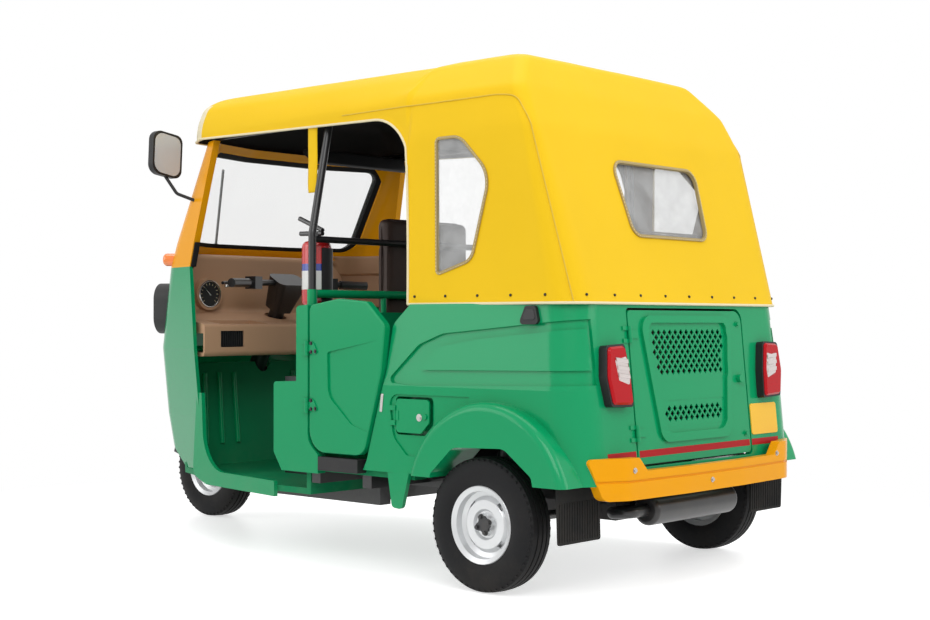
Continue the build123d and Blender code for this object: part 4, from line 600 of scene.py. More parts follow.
def makeBlockTree():
    # block centred on its point: a tread lug, a rib or a slat
    tree, start = newTree("blocks", blockSockets)
    size = vectorOf(tree, start["Length"], start["Width"], start["Height"])
    return placeOnPoints(tree, start, newNode(tree, "GeometryNodeMeshCube", {"Size": size}).outputs["Mesh"])


boltTree, domeTree, blockTree = makeBoltTree(), makeDomeTree(), makeBlockTree()


def repeated(name, tree, places, sizes, material, body):
    # places are (point, outward axis, long axis)
    mesh = bpy.data.meshes.new(name + "Points")
    mesh.from_pydata([tuple(p[0]) for p in places], [], [])
    for label, column in (("aim", 1), ("along", 2)):
        store = mesh.attributes.new(label, "FLOAT_VECTOR", "POINT")
        store.data.foreach_set("vector", [c for p in places for c in p[column]])
    piece = addObject(name, mesh)
    modifier = piece.modifiers.new("repeat", "NODES")
    modifier.node_group = tree
    sockets = {s.name: s.identifier for s in tree.interface.items_tree if s.in_out == "INPUT"}
    for label, value in {**sizes, "Finish": material}.items():
        modifier[sockets[label]] = value
    bake(piece)
    dress(piece.data, [])
    return attach(piece, body, sharpAngle=35)


# canopy: hood over the cabin and roof forward of it, as one sheet; stations run from the rear axle
canopyForm = {
    "hem": (0.852, -0.318, 0.046),   # height, rear station, set-in from the side wall
    "hood": [(1.378, -0.160, 0.040), (1.499, -0.100, 0.062), (1.605, -0.026, 0.166), (1.642, 0.095, 0.300),
             (1.658, 0.310, 0.480), (1.661, 0.336, 0.620)],
    # height, set-in at the hood and at the front, and the front edge's set-back
    "roof": [(1.455, 0.050, 0.111, 0.0), (1.492, 0.054, 0.112, 0.0), (1.540, 0.092, 0.124, 0.003),
             (1.590, 0.156, 0.156, 0.012), (1.632, 0.290, 0.270, 0.055), (1.650, 0.620, 0.620, 0.20)],
    "hoodFront": 0.342, "front": 1.503, "frontBow": 0.058, "frontBowHalf": 0.51, "frontBowPower": 2.2,
    "frontCorner": (0.010, 0.008), "sideStart": 0.04, "cornerRadius": 0.095, "bowRadius": 0.042,
    "cornerLimits": (0.8, 0.9),   # most of the half width and of the length that a corner takes up
    "edgeLift": 0.010, "edgeFall": 0.026, "openingRadius": 0.16,
    # shares along the front and the hood's side, runs from the hood along the arc, and even steps elsewhere
    "frontShares": (0, 0.12, 0.25, 0.38, 0.5, 0.62, 0.73, 0.83, 0.91, 0.96),
    "arcRuns": (0.14, 0.12, 0.1, 0.083, 0.066, 0.052, 0.04, 0.029, 0.02, 0.013),
    "sideShares": (0, 0.015, 0.05, 0.1, 0.17, 0.25, 0.33, 0.42, 0.51, 0.6, 0.69, 0.78, 0.86, 0.94),
    "roofSteps": 14, "cornerSteps": 8, "rearSteps": 9, "wallRows": 22, "rowsPerLevel": 6,
    "hoodSoftness": 0.12, "roofSoftness": 0.9, "eavesLead": 0.15, "sag": 0.003, "rearSagLean": 0.6,
    "roofClothStart": 0.55, "weld": 0.0006, "middle": (-0.2, 0, 1.2), "ripple": 0.0013, "thickness": 0.006,
    "pipingRadius": 0.0042, "seamHeight": 1.472, "seamRadius": 0.0021, "seamRoof": (0.02, 0.3),
    "seamCorner": 4, "seamTurn": ((3, 0.05), (1, 0.012)),   # corner columns, and drops below the height
    "rivetPitch": 0.13, "rivetStart": 0.03, "rivet": (0.009, 0.009, 0.004), "hemMiddle": (-0.9, 0, 0.85),
    "flatWidth": 2.6, "flatLength": 2.4, "flatArea": 3.46,
}


def hoodLoop(level, kind, share, cfg):
    # a point of the hood's plan outline: along the side, round the corner or across the rear
    z, rear, inset = level
    h = sideY - inset
    front = cfg["hoodFront"]
    corner = cfg["cornerRadius"] if level == cfg["hem"] else cfg["bowRadius"]
    wide, long = cfg["cornerLimits"]
    r = max(min(corner, wide * h, long * (front - rear)), 0)
    if kind == "side":
        return Vector((front + (rear + r - front) * share, h, z))
    if kind == "corner":
        turn = share * math.pi / 2
        return Vector((rear + r * (1 - math.sin(turn)), h - r * (1 - math.cos(turn)), z))
    return Vector((rear, share * (h - r), z))


def roofLoop(level, kind, share, cfg):
    # a point of the roof's plan outline: across the front, round its corner or back along the side
    z, hoodIn, frontIn, setBack = level
    half = sideY - frontIn
    front = cfg["front"] - setBack
    if kind == "front":
        bow = cfg["frontBow"] * (1 - share ** cfg["frontBowPower"]) * half / cfg["frontBowHalf"]
        return Vector((front + bow, share * half, z))
    if kind == "edge":
        back, inward = cfg["frontCorner"]
        return Vector((front - back, max(half - inward, 0), z))
    start = cfg["hoodFront"]
    x = start + (front - cfg["sideStart"] - start) * share
    return Vector((x, sideY - hoodIn - (frontIn - hoodIn) * share, z))


def openingEdge(x, cfg):
    # height of the roof's lower edge, which falls to the rear and ends in an arc down the hood's front edge
    r = cfg["openingRadius"]
    e = x - cfg["hoodFront"]
    z = cfg["roof"][0][0] + cfg["edgeLift"] - cfg["edgeFall"] * (1 - e / (cfg["front"] - cfg["hoodFront"]))
    if e >= r:
        return z
    return z - (r - math.sqrt(max(r * r - (r - e) ** 2, 0)))


def canopyStations(cfg):
    # from the front's middle round the left half to the rear's middle
    run = cfg["front"] - cfg["sideStart"] - cfg["hoodFront"]
    roof, corner, rear = cfg["roofSteps"], cfg["cornerSteps"], cfg["rearSteps"]
    return ([("front", share) for share in cfg["frontShares"]] + [("edge", 1)]
            + [("roof", 1 - k / roof) for k in range(roof - 1)] + [("roof", e / run) for e in cfg["arcRuns"]]
            + [("side", share) for share in cfg["sideShares"]]
            + [("corner", k / corner) for k in range(corner + 1)]
            + [("rear", 1 - k / rear) for k in range(1, rear + 1)])


def hoodColumn(kind, share, cfg):
    # wall rows from the hem up, levels above them, and a point that leads the curve in from below
    levels = [hoodLoop(level, kind, share, cfg) for level in cfg["hood"]]
    foot = hoodLoop(cfg["hem"], kind, share, cfg)
    if (kind, share) == ("side", 0):
        meeting = openingEdge(cfg["hoodFront"], cfg)
        levels[0] = foot.lerp(levels[0], (meeting - foot.z) / (levels[0].z - foot.z))
    wall = []
    rows = cfg["wallRows"]
    for k in range(rows):
        p = foot.lerp(levels[0], k / rows)
        inward = Vector((0 if kind == "side" else cfg["rearSagLean"], -p.y, 0)).normalized()
        wall.append(p + inward * cfg["sag"] * math.sin(math.pi * k / rows) * (kind != "corner"))
    return wall, levels, levels[0] + (foot - levels[0]) * cfg["eavesLead"]


def canopyColumns(cfg):
    # one column of points for each station: kind, share, wall rows and rows above the eaves
    columns = []
    steps = cfg["rowsPerLevel"]
    for kind, share in canopyStations(cfg):
        if kind in ("side", "corner", "rear"):
            soft = cfg["hoodSoftness"]
            wall, levels, lead = hoodColumn(kind, share, cfg)
        else:
            soft = cfg["roofSoftness"]
            wall, levels = [], [roofLoop(level, kind, share, cfg) for level in cfg["roof"]]
            if kind == "roof":
                levels[0].z = openingEdge(levels[0].x, cfg)
            lead = levels[0] * 2 - levels[1]
        last, top = levels[-2:]
        beyond = Vector((last.x, -last.y, last.z)) if kind in ("roof", "side") else top * 2 - last
        chain = [lead, *levels, beyond]
        upper = []
        for i in range(1, len(levels)):
            for k in range(steps):
                straight = chain[i].lerp(chain[i + 1], k / steps)
                upper.append(straight.lerp(curveAt(*chain[i - 1:i + 3], k / steps), soft))
        columns.append((kind, share, wall, upper + [top]))
    return columns


def inPlace(points, side=1):
    # from the rear axle's station to the part's frame, on the left or the right
    return [Vector((p.x + rearAxle, side * p.y, p.z)) for p in points]


def canopyGrid(cfg):
    left = canopyColumns(cfg)
    placed = [(kind, share, inPlace(wall), inPlace(upper)) for kind, share, wall, upper in left]
    placed += [(kind, share, inPlace(wall, -1), inPlace(upper, -1))
               for kind, share, wall, upper in reversed(left[1:-1])]
    return left, placed


def buildCanopy(grid, cfg):
    bm = bmesh.new()
    uv = bm.loops.layers.uv.new("cloth")
    made = []
    around = 0.0
    lastEaves = grid[0][3][0]
    for kind, share, wall, upper in grid:
        around += (upper[0] - lastEaves).length
        lastEaves = upper[0]
        climb = 0.0 if wall else cfg["roofClothStart"]
        column = []
        points = wall + upper
        for below, p in zip(points[:1] + points, points):
            climb += (p - below).length
            column.append((bm.verts.new(p), (around, climb)))
        made.append((column, kind, bool(wall)))
    for (a, kindA, wallA), (b, kindB, wallB) in zip(made, made[1:] + made[:1]):
        hooded = wallA and wallB
        # where the hood meets the roof, its wall rows have no neighbour
        upperA = a if hooded or not wallA else a[cfg["wallRows"]:]
        upperB = b if hooded or not wallB else b[cfg["wallRows"]:]
        for k in range(len(upperA) - 1):
            corners = (upperA[k], upperB[k], upperB[k + 1], upperA[k + 1])
            face = bm.faces.new([vert for vert, place in corners])
            front = "edge" in (kindA, kindB) and k < 3 * cfg["rowsPerLevel"]
            face.material_index = 0 if hooded else 4 if front else 2
            for loop, (vert, place) in zip(face.loops, corners):
                loop[uv].uv = place
    bmesh.ops.remove_doubles(bm, verts=bm.verts, dist=cfg["weld"])
    bm.normal_update()
    middle = Vector(cfg["middle"])
    if sum(f.normal.dot(f.calc_center_median() - middle) for f in bm.faces) < 0:
        bmesh.ops.reverse_faces(bm, faces=bm.faces)
        bm.normal_update()
    edge = {v for e in bm.edges if e.is_boundary for v in e.verts}
    for v in bm.verts:
        drift = noise.noise(v.co * 5.0) + 0.5 * noise.noise(v.co * 13.0)
        if v not in edge:
            v.co -= v.normal * cfg["ripple"] * (1 + drift)
    cloth = addObject("canopyCloth", meshOf(bm, "canopyCloth"))
    # each outer finish is followed by the lining behind it
    dress(cloth.data, (canvasYellow, liningBeige, canvasYellow, liningDark, pipingCream, liningDark))
    soft = cloth.modifiers.new("soft", "SUBSURF")
    soft.levels = soft.render_levels = 1
    wall = thicken(cloth, cfg["thickness"], -1)
    wall.material_offset = 1
    wall.material_offset_rim = 0
    return cloth


# windows: film in the hood's side and rear walls, in a bound and stitched edge; outlines have corner radii
windowForm = {
    "side": [(0.216, 0.945, 0.008), (0.216, 1.356, 0.012), (0.120, 1.356, 0.070), (0.004, 1.235, 0.090),
             (0.078, 0.985, 0.050)],
    "rear": [(0.225, 1.288, 0.040), (-0.225, 1.288, 0.040), (-0.200, 1.062, 0.040), (0.200, 1.062, 0.040)],
    "sideSpread": 0.004, "cornerSteps": 10, "cutDepth": 0.06, "binding": 0.0065, "lap": 0.002,
    "bindingThickness": 0.0022, "bindingBack": -0.002, "bindingRim": 0.6, "lapBack": -0.009,
    "stitchLine": 0.55, "stitchPitch": 0.011, "stitch": (0.007, 0.0016, 0.001),
}


def windowPlaces(cfg):
    # each window's outline with its wall: (station, height) on the sides and (y, height) on the rear
    height, station, inset = canopyForm["hem"]
    eavesHeight, eavesStation = canopyForm["hood"][0][:2]
    spread = cfg["sideSpread"] / (eavesHeight - height)
    places = []
    for side in (1, -1):
        foot = (rearAxle, side * (sideY - inset - height * spread), 0)
        places.append((cfg["side"], planePlace(foot, (1, 0, 0), (0, side * spread, 1), (0, side, 0))))
    lean = (eavesStation - station) / (eavesHeight - height)
    return places + [(cfg["rear"], leaningPlace(station, height, lean))]


def cutWindows(cloth, cfg):
    cutters = []
    for outline, place in windowPlaces(cfg):
        bm = bmesh.new()
        prism(bm, rounded(outline, cfg["cornerSteps"]), place, -cfg["cutDepth"], cfg["cutDepth"])
        cut = cloth.modifiers.new("window", "BOOLEAN")
        cut.operation = "DIFFERENCE"
        cut.solver = "EXACT"
        cut.object = addObject("windowCutter", meshOf(bm, "windowCutter"))
        cutters.append(cut.object)
    bake(cloth)
    # a cutter goes with its mesh
    for cutter in cutters:
        bpy.data.meshes.remove(cutter.data)


def bindWindows(cfg):
    # woven tape round each window, with its row of stitches
    bm = bmesh.new()
    stitches = []
    thickness, steps = cfg["bindingThickness"], cfg["cornerSteps"]
    for outline, place in windowPlaces(cfg):
        outer = rounded(grownOutline(outline, cfg["binding"]), steps)
        inner = rounded(grownOutline(outline, -cfg["lap"]), steps)
        rings = [ringInto(bm, line, place, out) for line, out in (
            (outer, cfg["bindingBack"]), (outer, thickness * cfg["bindingRim"]), (inner, thickness),
            (inner, cfg["lapBack"]))]
        settle(bm, bridge(bm, rings, around=True), 0)
        middle = rounded(grownOutline(outline, cfg["binding"] * cfg["stitchLine"]), steps)
        run = [place(u, v, thickness) for u, v in middle]
        out = place(0, 0, 1) - place(0, 0, 0)
        stitches += spotsAlong(run + run[:1], cfg["stitchPitch"], 0.0, lambda spot, along: out)
    binding = newPiece("windowBinding", bm, [bindingTan], "body")
    sewn = repeated("windowStitches", domeTree, stitches, blockSize(*cfg["stitch"]), pipingCream,
                    "body")
    return [binding, sewn]


def atHeight(points, z):
    # where a column of the cloth, from its foot up, reaches a height
    for a, b in zip(points, points[1:]):
        if a.z <= z < b.z:
            return a.lerp(b, (z - a.z) / (b.z - a.z))
    return points[0]


def trimCanopy(left, grid, cfg):
    # piping on the roof's edge, the hood's front edge and the hem, the panel seams, and rivets along the hem
    bm = bmesh.new()
    roofs, sides, corners = ([column for column in left if column[0] == kind]
                             for kind in ("roof", "side", "corner"))
    edge = [upper[0] for kind, share, wall, upper in left if kind in ("front", "edge", "roof")]
    edge += reversed(sides[0][2] + sides[0][3][:1])
    # the panel seam climbs the hood's corner, turns there and runs forward along the side to the roof
    z = cfg["seamHeight"]
    foot = corners[cfg["seamCorner"]]
    least, most = cfg["seamRoof"]
    seam = foot[2][::3] + [foot[3][0]]
    seam += [atHeight(corners[n][3], z - drop) for n, drop in cfg["seamTurn"]]
    seam += [atHeight(column[3], z) for column in reversed(sides[2::2])]
    seam += [atHeight(column[3], z) for column in reversed(roofs) if least < column[1] < most]
    for side in (1, -1):
        tubeInto(bm, inPlace(edge, side), cfg["pipingRadius"])
        tubeInto(bm, smoothPath(inPlace(seam, side), 5), cfg["seamRadius"], sides=6, index=1)
    walls = [wall for kind, share, wall, upper in grid if wall]
    tubeInto(bm, [wall[0] for wall in walls], cfg["pipingRadius"])
    piping = newPiece("canopyPiping", bm, [pipingCream, seamYellow], "body")

    def outOf(spot, along):
        out = Vector((-along.y, along.x, 0))
        return out if out.dot(spot - Vector(cfg["hemMiddle"])) > 0 else -out
    spots = spotsAlong([wall[1] for wall in walls], cfg["rivetPitch"], cfg["rivetStart"], outOf)
    rivets = repeated("hemRivets", domeTree, spots, blockSize(*cfg["rivet"]), blackPlastic,
                      "body")
    return [piping, rivets]


canopyLeft, canopyPoints = canopyGrid(canopyForm)
canopyCloth = buildCanopy(canopyPoints, canopyForm)
cutWindows(canopyCloth, windowForm)
canopyTrim = bindWindows(windowForm) + trimCanopy(canopyLeft, canopyPoints, canopyForm)
attach(canopyCloth, "body", sharpAngle=50)
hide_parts("canopy")
clothArea = sum(face.area for face in canopyCloth.data.polygons) / 2
print("canopy:", len(canopyCloth.data.polygons), "faces,", round(clothArea, 3), "square metres a side")


# short strap of the same canvas that ties the rolled door curtain
strapForm = {
    "station": 0.822, "y": 0.537, "low": 1.230, "high": 1.455, "width": 0.044, "thickness": 0.0025,
    "wave": 0.0015, "waveTurn": 9, "tip": 0.004, "curl": 0.0012, "rows": 30, "across": 6,
}


def makeStrap(cfg):
    bm = bmesh.new()
    uv = bm.loops.layers.uv.new("cloth")
    points = []
    for k in range(cfg["rows"] + 1):
        share = k / cfg["rows"]
        z = cfg["low"] + (cfg["high"] - cfg["low"]) * share
        y = cfg["y"] + cfg["wave"] * math.sin(cfg["waveTurn"] * share) * (1 - share)
        width = cfg["width"] - cfg["tip"] * max(0, 1 - k / 2)
        row = []
        for i in range(cfg["across"] + 1):
            u = i / cfg["across"] - 0.5
            x = rearAxle + cfg["station"] + width * u
            row.append(bm.verts.new((x, y - cfg["curl"] * (2 * u) ** 2, z)))
        points.append(row)
    for low, high in zip(points, points[1:]):
        for i in range(cfg["across"]):
            face = bm.faces.new((low[i], high[i], high[i + 1], low[i + 1]))
            for loop in face.loops:
                loop[uv].uv = (loop.vert.co.x, loop.vert.co.z)
    strap = newPiece("curtainStrap", bm, [canvasYellow], "body")
    thicken(strap, cfg["thickness"])
    bake(strap)
    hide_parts("curtain_strap")


makeStrap(strapForm)


# cushions: crowned pads in the CAD solids' places, with channels, pulled-in sides and a corded seam
# a channel runs across the pad's first or second flat direction, at a share of its half size
cushionForm = {
    "driver_cushion": {"finish": seatRose, "axis": 2, "radius": 0.030, "crown": 0.012, "pull": 0.006,
                       "channels": ((0, -0.42), (0, 0.42)), "depth": 0.006, "fill": 0.8},
    "driver_backrest": {"finish": seatBrown, "axis": 0, "radius": 0.028, "crown": 0.010, "pull": 0.008,
                        "channels": ((1, -0.45), (1, 0.45)), "depth": 0.005, "fill": 0.8},
    "bench_cushion": {"finish": seatBrown, "axis": 2, "radius": 0.035, "crown": 0.014, "pull": 0.008,
                      "channels": ((1, -0.5), (1, 0.0), (1, 0.5)), "depth": 0.007, "fill": 0.8},
    "bench_backrest": {"finish": seatBrown, "axis": 0, "radius": 0.030, "crown": 0.008, "pull": 0.006,
                       "channels": ((1, -0.5), (1, 0.0), (1, 0.5)), "depth": 0.006, "fill": 0.8,
                       "thinned": 0.010, "lead": 0.004, "lean": 0.018, "leanFrom": 0.73, "leanHeight": 0.355},
}
seamForm = {"corner": 0.045, "drop": 1.1, "pull": 0.7, "cordRadius": 0.0035, "channelWidth": 0.006,
            "crownDrop": 0.6, "wrinkle": 0.0012, "wrinkleScale": 3.1, "cuts": 39}


def padPoint(p, half, cfg):
    # rounded box from the unit cube, then the crown, the pulled-in sides and the sewn channels
    r, axis = cfg["radius"], cfg["axis"]
    q = Vector(p[i] * half[i] for i in range(3))
    core = Vector(max(-(half[i] - r), min(half[i] - r, q[i])) for i in range(3))
    out = q - core
    if out.length > 1e-6:
        q = core + out.normalized() * r
    others = [i for i in range(3) if i != axis]
    a, b = others
    bulge = cfg["crown"] * (1 - p[a] ** 2) * (1 - p[b] ** 2)
    for line, spot in cfg["channels"]:
        off = (p[others[line]] - spot) * half[others[line]]
        bulge -= cfg["depth"] * math.exp(-(off / seamForm["channelWidth"]) ** 2)
    up = max(p[axis], 0)
    q[axis] += bulge * up - cfg["crown"] * seamForm["crownDrop"] * up
    for i, k in ((a, b), (b, a)):
        q[i] -= math.copysign(cfg["pull"], p[i]) * (1 - p[k] ** 2) * abs(p[i]) ** 3 * (1 - abs(p[axis]) ** 2)
    q[axis] += noise.noise(p * seamForm["wrinkleScale"]) * seamForm["wrinkle"] * up
    return q


def leaned(point, cfg):
    # the bench's backrest leans back up its height
    if "lean" in cfg:
        share = max(point.z - cfg["leanFrom"], 0) / cfg["leanHeight"]
        point.x += cfg["lead"] - cfg["lean"] * share
    return point


def seamCord(centre, half, cfg):
    # corded seam round the pad, just under its rounded edge
    axis, pull = cfg["axis"], cfg["pull"] * seamForm["pull"]
    a, b = (i for i in range(3) if i != axis)
    path = []
    for u, v in rounded(rectangle((-half[a], -half[b]), (half[a], half[b]), seamForm["corner"]), 8):
        p = centre.copy()
        du, dv = u / half[a], v / half[b]
        p[a] += u - math.copysign(pull, u) * (1 - dv * dv) * abs(du) ** 3
        p[b] += v - math.copysign(pull, v) * (1 - du * du) * abs(dv) ** 3
        p[axis] += half[axis] - cfg["radius"] * seamForm["drop"]
        path.append(leaned(p, cfg))
    return path


def makePad(node, cfg):
    low, high = (Vector(c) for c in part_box(node))
    low.x += cfg.get("thinned", 0.0)
    centre, half = (low + high) / 2, (high - low) / 2
    bm = bmesh.new()
    bmesh.ops.create_cube(bm, size=2)
    bmesh.ops.subdivide_edges(bm, edges=bm.edges, cuts=seamForm["cuts"], use_grid_fill=True)
    for v in bm.verts:
        v.co = leaned(centre + padPoint(v.co.copy(), half, cfg), cfg)
    tubeInto(bm, seamCord(centre, half, cfg), seamForm["cordRadius"], sides=6, closed=True)
    pad = newPiece("pad_" + node, bm, [cfg["finish"]], "body", sharpAngle=60)
    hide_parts(node)


for node, cfg in cushionForm.items():
    makePad(node, cfg)
print("cushions made")


# small fittings, set on the solids' own surfaces by rays that start outside the vehicle
rayStart = {"behind": -2.0, "beside": 1.2}


def surfaceHit(node, start, heading):
    hit, place, normal, index = cadNodes[node].ray_cast(Vector(start), Vector(heading))
    if not hit:
        raise RuntimeError("nothing of " + node + " at " + str(start))
    return place, normal


def fromBehind(node, y, z):
    return surfaceHit(node, (rayStart["behind"], y, z), (1, 0, 0))


def fromSide(node, x, z, side):
    return surfaceHit(node, (rearAxle + x, side * rayStart["beside"], z), (0, -side, 0))


# red tape across the rear, in three strips: piece, solid under it, body, and the two ends' y
tapeForm = {"heights": (0.399, 0.419), "lift": 0.0006, "sink": -0.001, "steps": 12, "strips": [
    ("tapeLeft", "rear_panel", "body", 0.472, 0.333),
    ("tapeHatch", "engine_hatch", "engine_hatch", 0.316, -0.294),
    ("tapeRight", "rear_panel", "body", -0.308, -0.472)]}
for name, node, body, yStart, yEnd in tapeForm["strips"]:
    bm = bmesh.new()
    rings = []
    for k in range(tapeForm["steps"] + 1):
        y = yStart + (yEnd - yStart) * k / tapeForm["steps"]
        (low, lowOut), (high, highOut) = (fromBehind(node, y, z) for z in tapeForm["heights"])
        lift, sink = tapeForm["lift"], tapeForm["sink"]
        corners = (low + lowOut * lift, high + highOut * lift, high + highOut * sink, low + lowOut * sink)
        rings.append([bm.verts.new(corner) for corner in corners])
    settle(bm, bridge(bm, rings) + [bm.faces.new(rings[0]), bm.faces.new(rings[-1])], 0)
    newPiece(name, bm, [tapeRed], body)

# tail lamps: red lens with a clear, faceted part; a facet's corner has y, z and y's step to the next facet
lampForm = {
    "edge": [(0.368, 0.554, 0.010), (0.462, 0.558, 0.012), (0.479, 0.636, 0.060), (0.468, 0.722, 0.014),
             (0.389, 0.726, 0.014), (0.373, 0.640, 0.060)],
    "clear": [(0.446, 0.684, 0.004), (0.392, 0.694, 0.004), (0.381, 0.640, 0.004), (0.385, 0.612, 0.004),
              (0.434, 0.626, 0.004)],
    "seat": 0.020, "face": 0.034, "bevel": 0.006, "clearFace": 0.037, "clearBevel": 0.003,
    "facet": [(0.384, 0.630, 0.002), (0.437, 0.636, 0.003), (0.438, 0.648, 0.003), (0.385, 0.642, 0.002)],
    "facets": 3, "facetPitch": 0.022, "facetSink": 0.002, "facetLift": 0.003, "facetBevel": 0.002,
    "wallFoot": (-0.362, 0.33), "wallLean": 0.0967,
}


def makeTailLens(name, side, cfg):
    place = leaningPlace(*cfg["wallFoot"], cfg["wallLean"], side)
    face, clear = cfg["face"], cfg["clearFace"]
    bm = bmesh.new()
    prism(bm, rounded(cfg["edge"]), place, cfg["seat"], face, edge=cfg["bevel"])
    prism(bm, rounded(cfg["clear"], 3), place, face - cfg["bevel"], clear, edge=cfg["clearBevel"], index=1)
    for k in range(cfg["facets"]):
        facet = [(y + step * k, z + cfg["facetPitch"] * k) for y, z, step in cfg["facet"]]
        prism(bm, facet, place, clear - cfg["facetSink"], clear + cfg["facetLift"], edge=cfg["facetBevel"],
              index=1)
    newPiece(name, bm, [redLens, lensClear], "body", sharpAngle=25)


makeTailLens("tailLensLeft", 1, lampForm)
makeTailLens("tailLensRight", -1, lampForm)

# raised middles of the side vents
ventForm = {
    "edge": [(-0.129, 0.803, 0.008), (-0.181, 0.803, 0.008), (-0.168, 0.834, 0.006), (-0.143, 0.834, 0.006)],
    "middle": (-0.155, 0.815), "back": -0.004, "face": 0.0025, "bevel": 0.0015,
}


def ventPlace(side, cfg):
    station, height = cfg["middle"]
    spot, normal = fromSide("side_vents", station, height, side)
    rise, run = normal.z / normal.y, normal.x / normal.y
    foot = (rearAxle, spot.y + height * rise + station * run, 0)
    return planePlace(foot, (1, -run, 0), (0, -rise, 1), (0, side, 0))


plates("ventCentres", rounded(ventForm["edge"], 4), [ventPlace(side, ventForm) for side in (1, -1)], ventForm,
       podCharcoal, "body")

# bolts: (y, z) on the bumper and the hatch, and offsets from each door hinge on its leaf
boltForm = {
    "bumper": ((0.413, 0.372), (0.029, 0.318), (-0.37, 0.372)), "hatch": ((-0.272, 0.790), (-0.272, 0.440)),
    "hingeStation": 0.736, "hingeHeights": (0.526, 0.712),
    "hingeLeaf": ((-0.014, 0.016), (-0.014, -0.012), (-0.034, -0.010)),
    "bumperSize": {"Radius": 0.0055, "Height": 0.005}, "hatchSize": {"Radius": 0.006, "Height": 0.008},
    "hingeSize": {"Radius": 0.0042, "Height": 0.0035},
}


def setBolts(name, hits, sizes, material, body):
    places = [(spot, normal, (0, 0, 1)) for spot, normal in hits]
    repeated(name, boltTree, places, sizes, material, body)


setBolts("bumperBolts", [fromBehind("rear_bumper", y, z) for y, z in boltForm["bumper"]],
         boltForm["bumperSize"], boltSteel, "body")
setBolts("hatchBolts", [fromBehind("engine_hatch", y, z) for y, z in boltForm["hatch"]],
         boltForm["hatchSize"], bodyGreen, "engine_hatch")
for name, side in (("left", 1), ("right", -1)):
    door = "door_" + name
    hits = [fromSide(door, boltForm["hingeStation"] + dx, z + dz, side)
            for z in boltForm["hingeHeights"] for dx, dz in boltForm["hingeLeaf"]]
    setBolts("hingeBolts_" + name, hits, boltForm["hingeSize"], blackPaint, door)
print("tape, lamps and bolts set")


# wheels: lugs on both shoulders of the tread, nuts, and a lobed plate on the hub
wheelForm = {
    "axleHeight": 0.2, "lugs": 52, "lugRadius": 0.1915, "lugOffset": 0.0405, "lugTilt": 0.55,
    "lug": (0.0077, 0.009, 0.006), "nuts": 4, "nutRadius": 0.024, "nutFace": 0.031,
    "nutTurn": math.radians(20), "nutSize": {"Radius": 0.006, "Height": 0.009}, "hubReach": 0.027,
    "hubLobe": 0.006, "hubSides": 56, "back": -0.006, "face": 0.003, "bevel": 0.001,
    "wheels": [("front_wheel", frontAxle, 0.0, 1), ("rear_wheel_left", rearAxle, 0.575, 1),
               ("rear_wheel_right", rearAxle, -0.575, -1)],
}


def dressWheel(body, x, y, side, cfg):
    middle = Vector((x, y, cfg["axleHeight"]))
    lugs = []
    for k in range(cfg["lugs"]):
        for edge, shift in ((-1, 0.0), (1, 0.5)):
            turn = 2 * math.pi * (k + shift) / cfg["lugs"]
            out = Vector((math.cos(turn), 0, math.sin(turn)))
            spot = middle + out * cfg["lugRadius"] + Vector((0, edge * cfg["lugOffset"], 0))
            tilt = (out + Vector((0, edge * cfg["lugTilt"], 0))).normalized()
            lugs.append((spot, tilt, Vector((-math.sin(turn), 0, math.cos(turn)))))
    repeated("treadLugs_" + body, blockTree, lugs, blockSize(*cfg["lug"]), tyreRubber, body)

    hub = planePlace(middle + Vector((0, side * cfg["nutFace"], 0)), (1, 0, 0), (0, 0, 1), (0, side, 0))
    turns = [cfg["nutTurn"] + 2 * math.pi * k / cfg["nuts"] for k in range(cfg["nuts"])]
    r = cfg["nutRadius"]
    nuts = [(hub(r * math.sin(t), r * math.cos(t), 0), (0, side, 0)) for t in turns]
    setBolts("wheelNuts_" + body, nuts, cfg["nutSize"], castMetal, body)
    lobes = []
    for k in range(cfg["hubSides"]):
        turn = 2 * math.pi * k / cfg["hubSides"]
        reach = cfg["hubReach"] + cfg["hubLobe"] * math.cos(cfg["nuts"] * (turn - cfg["nutTurn"]))
        lobes.append((reach * math.sin(turn), reach * math.cos(turn)))
    plates("hubPlate_" + body, lobes, [hub], cfg, castMetal, body)


for wheel in wheelForm["wheels"]:
    dressWheel(*wheel, wheelForm)
print("wheels dressed")


# dashboard: vent slats over a dark back, and a dial with bright rim, needle and ticks
dashForm = {
    "rear": frontAxle - 0.575, "ventBack": 0.016, "ventLow": (0.326, 0.700), "ventHigh": (0.444, 0.770),
    "ventThickness": 0.002, "slats": 11, "slatSpan": (0.33, 0.44), "slatHeight": 0.735, "slatDepth": 0.008,
    "slat": (0.0035, 0.058, 0.010),
    "dial": (frontAxle - 0.329, 0.30, 0.905), "dialRadius": 0.0465, "dialThickness": 0.003,
    "rimRadius": 0.050, "rimTube": 0.0035, "rimLift": 0.006,
    "needle": [(-0.0015, -0.008), (0.0015, -0.008), (0.0005, 0.034), (-0.0005, 0.034)],
    "needleLifts": (0.004, 0.005), "needleTurn": 0.7,
    "ticks": 13, "tickRadius": 0.038, "tickSpan": math.radians(270), "tick": (0.008, 0.0016, 0.001),
}
rimCircle = circleOf(40)


def facingBack(origin, turn=0.0, size=1.0):
    return planePlace(origin, (0, size, -turn), (0, turn, size), (-1, 0, 0))


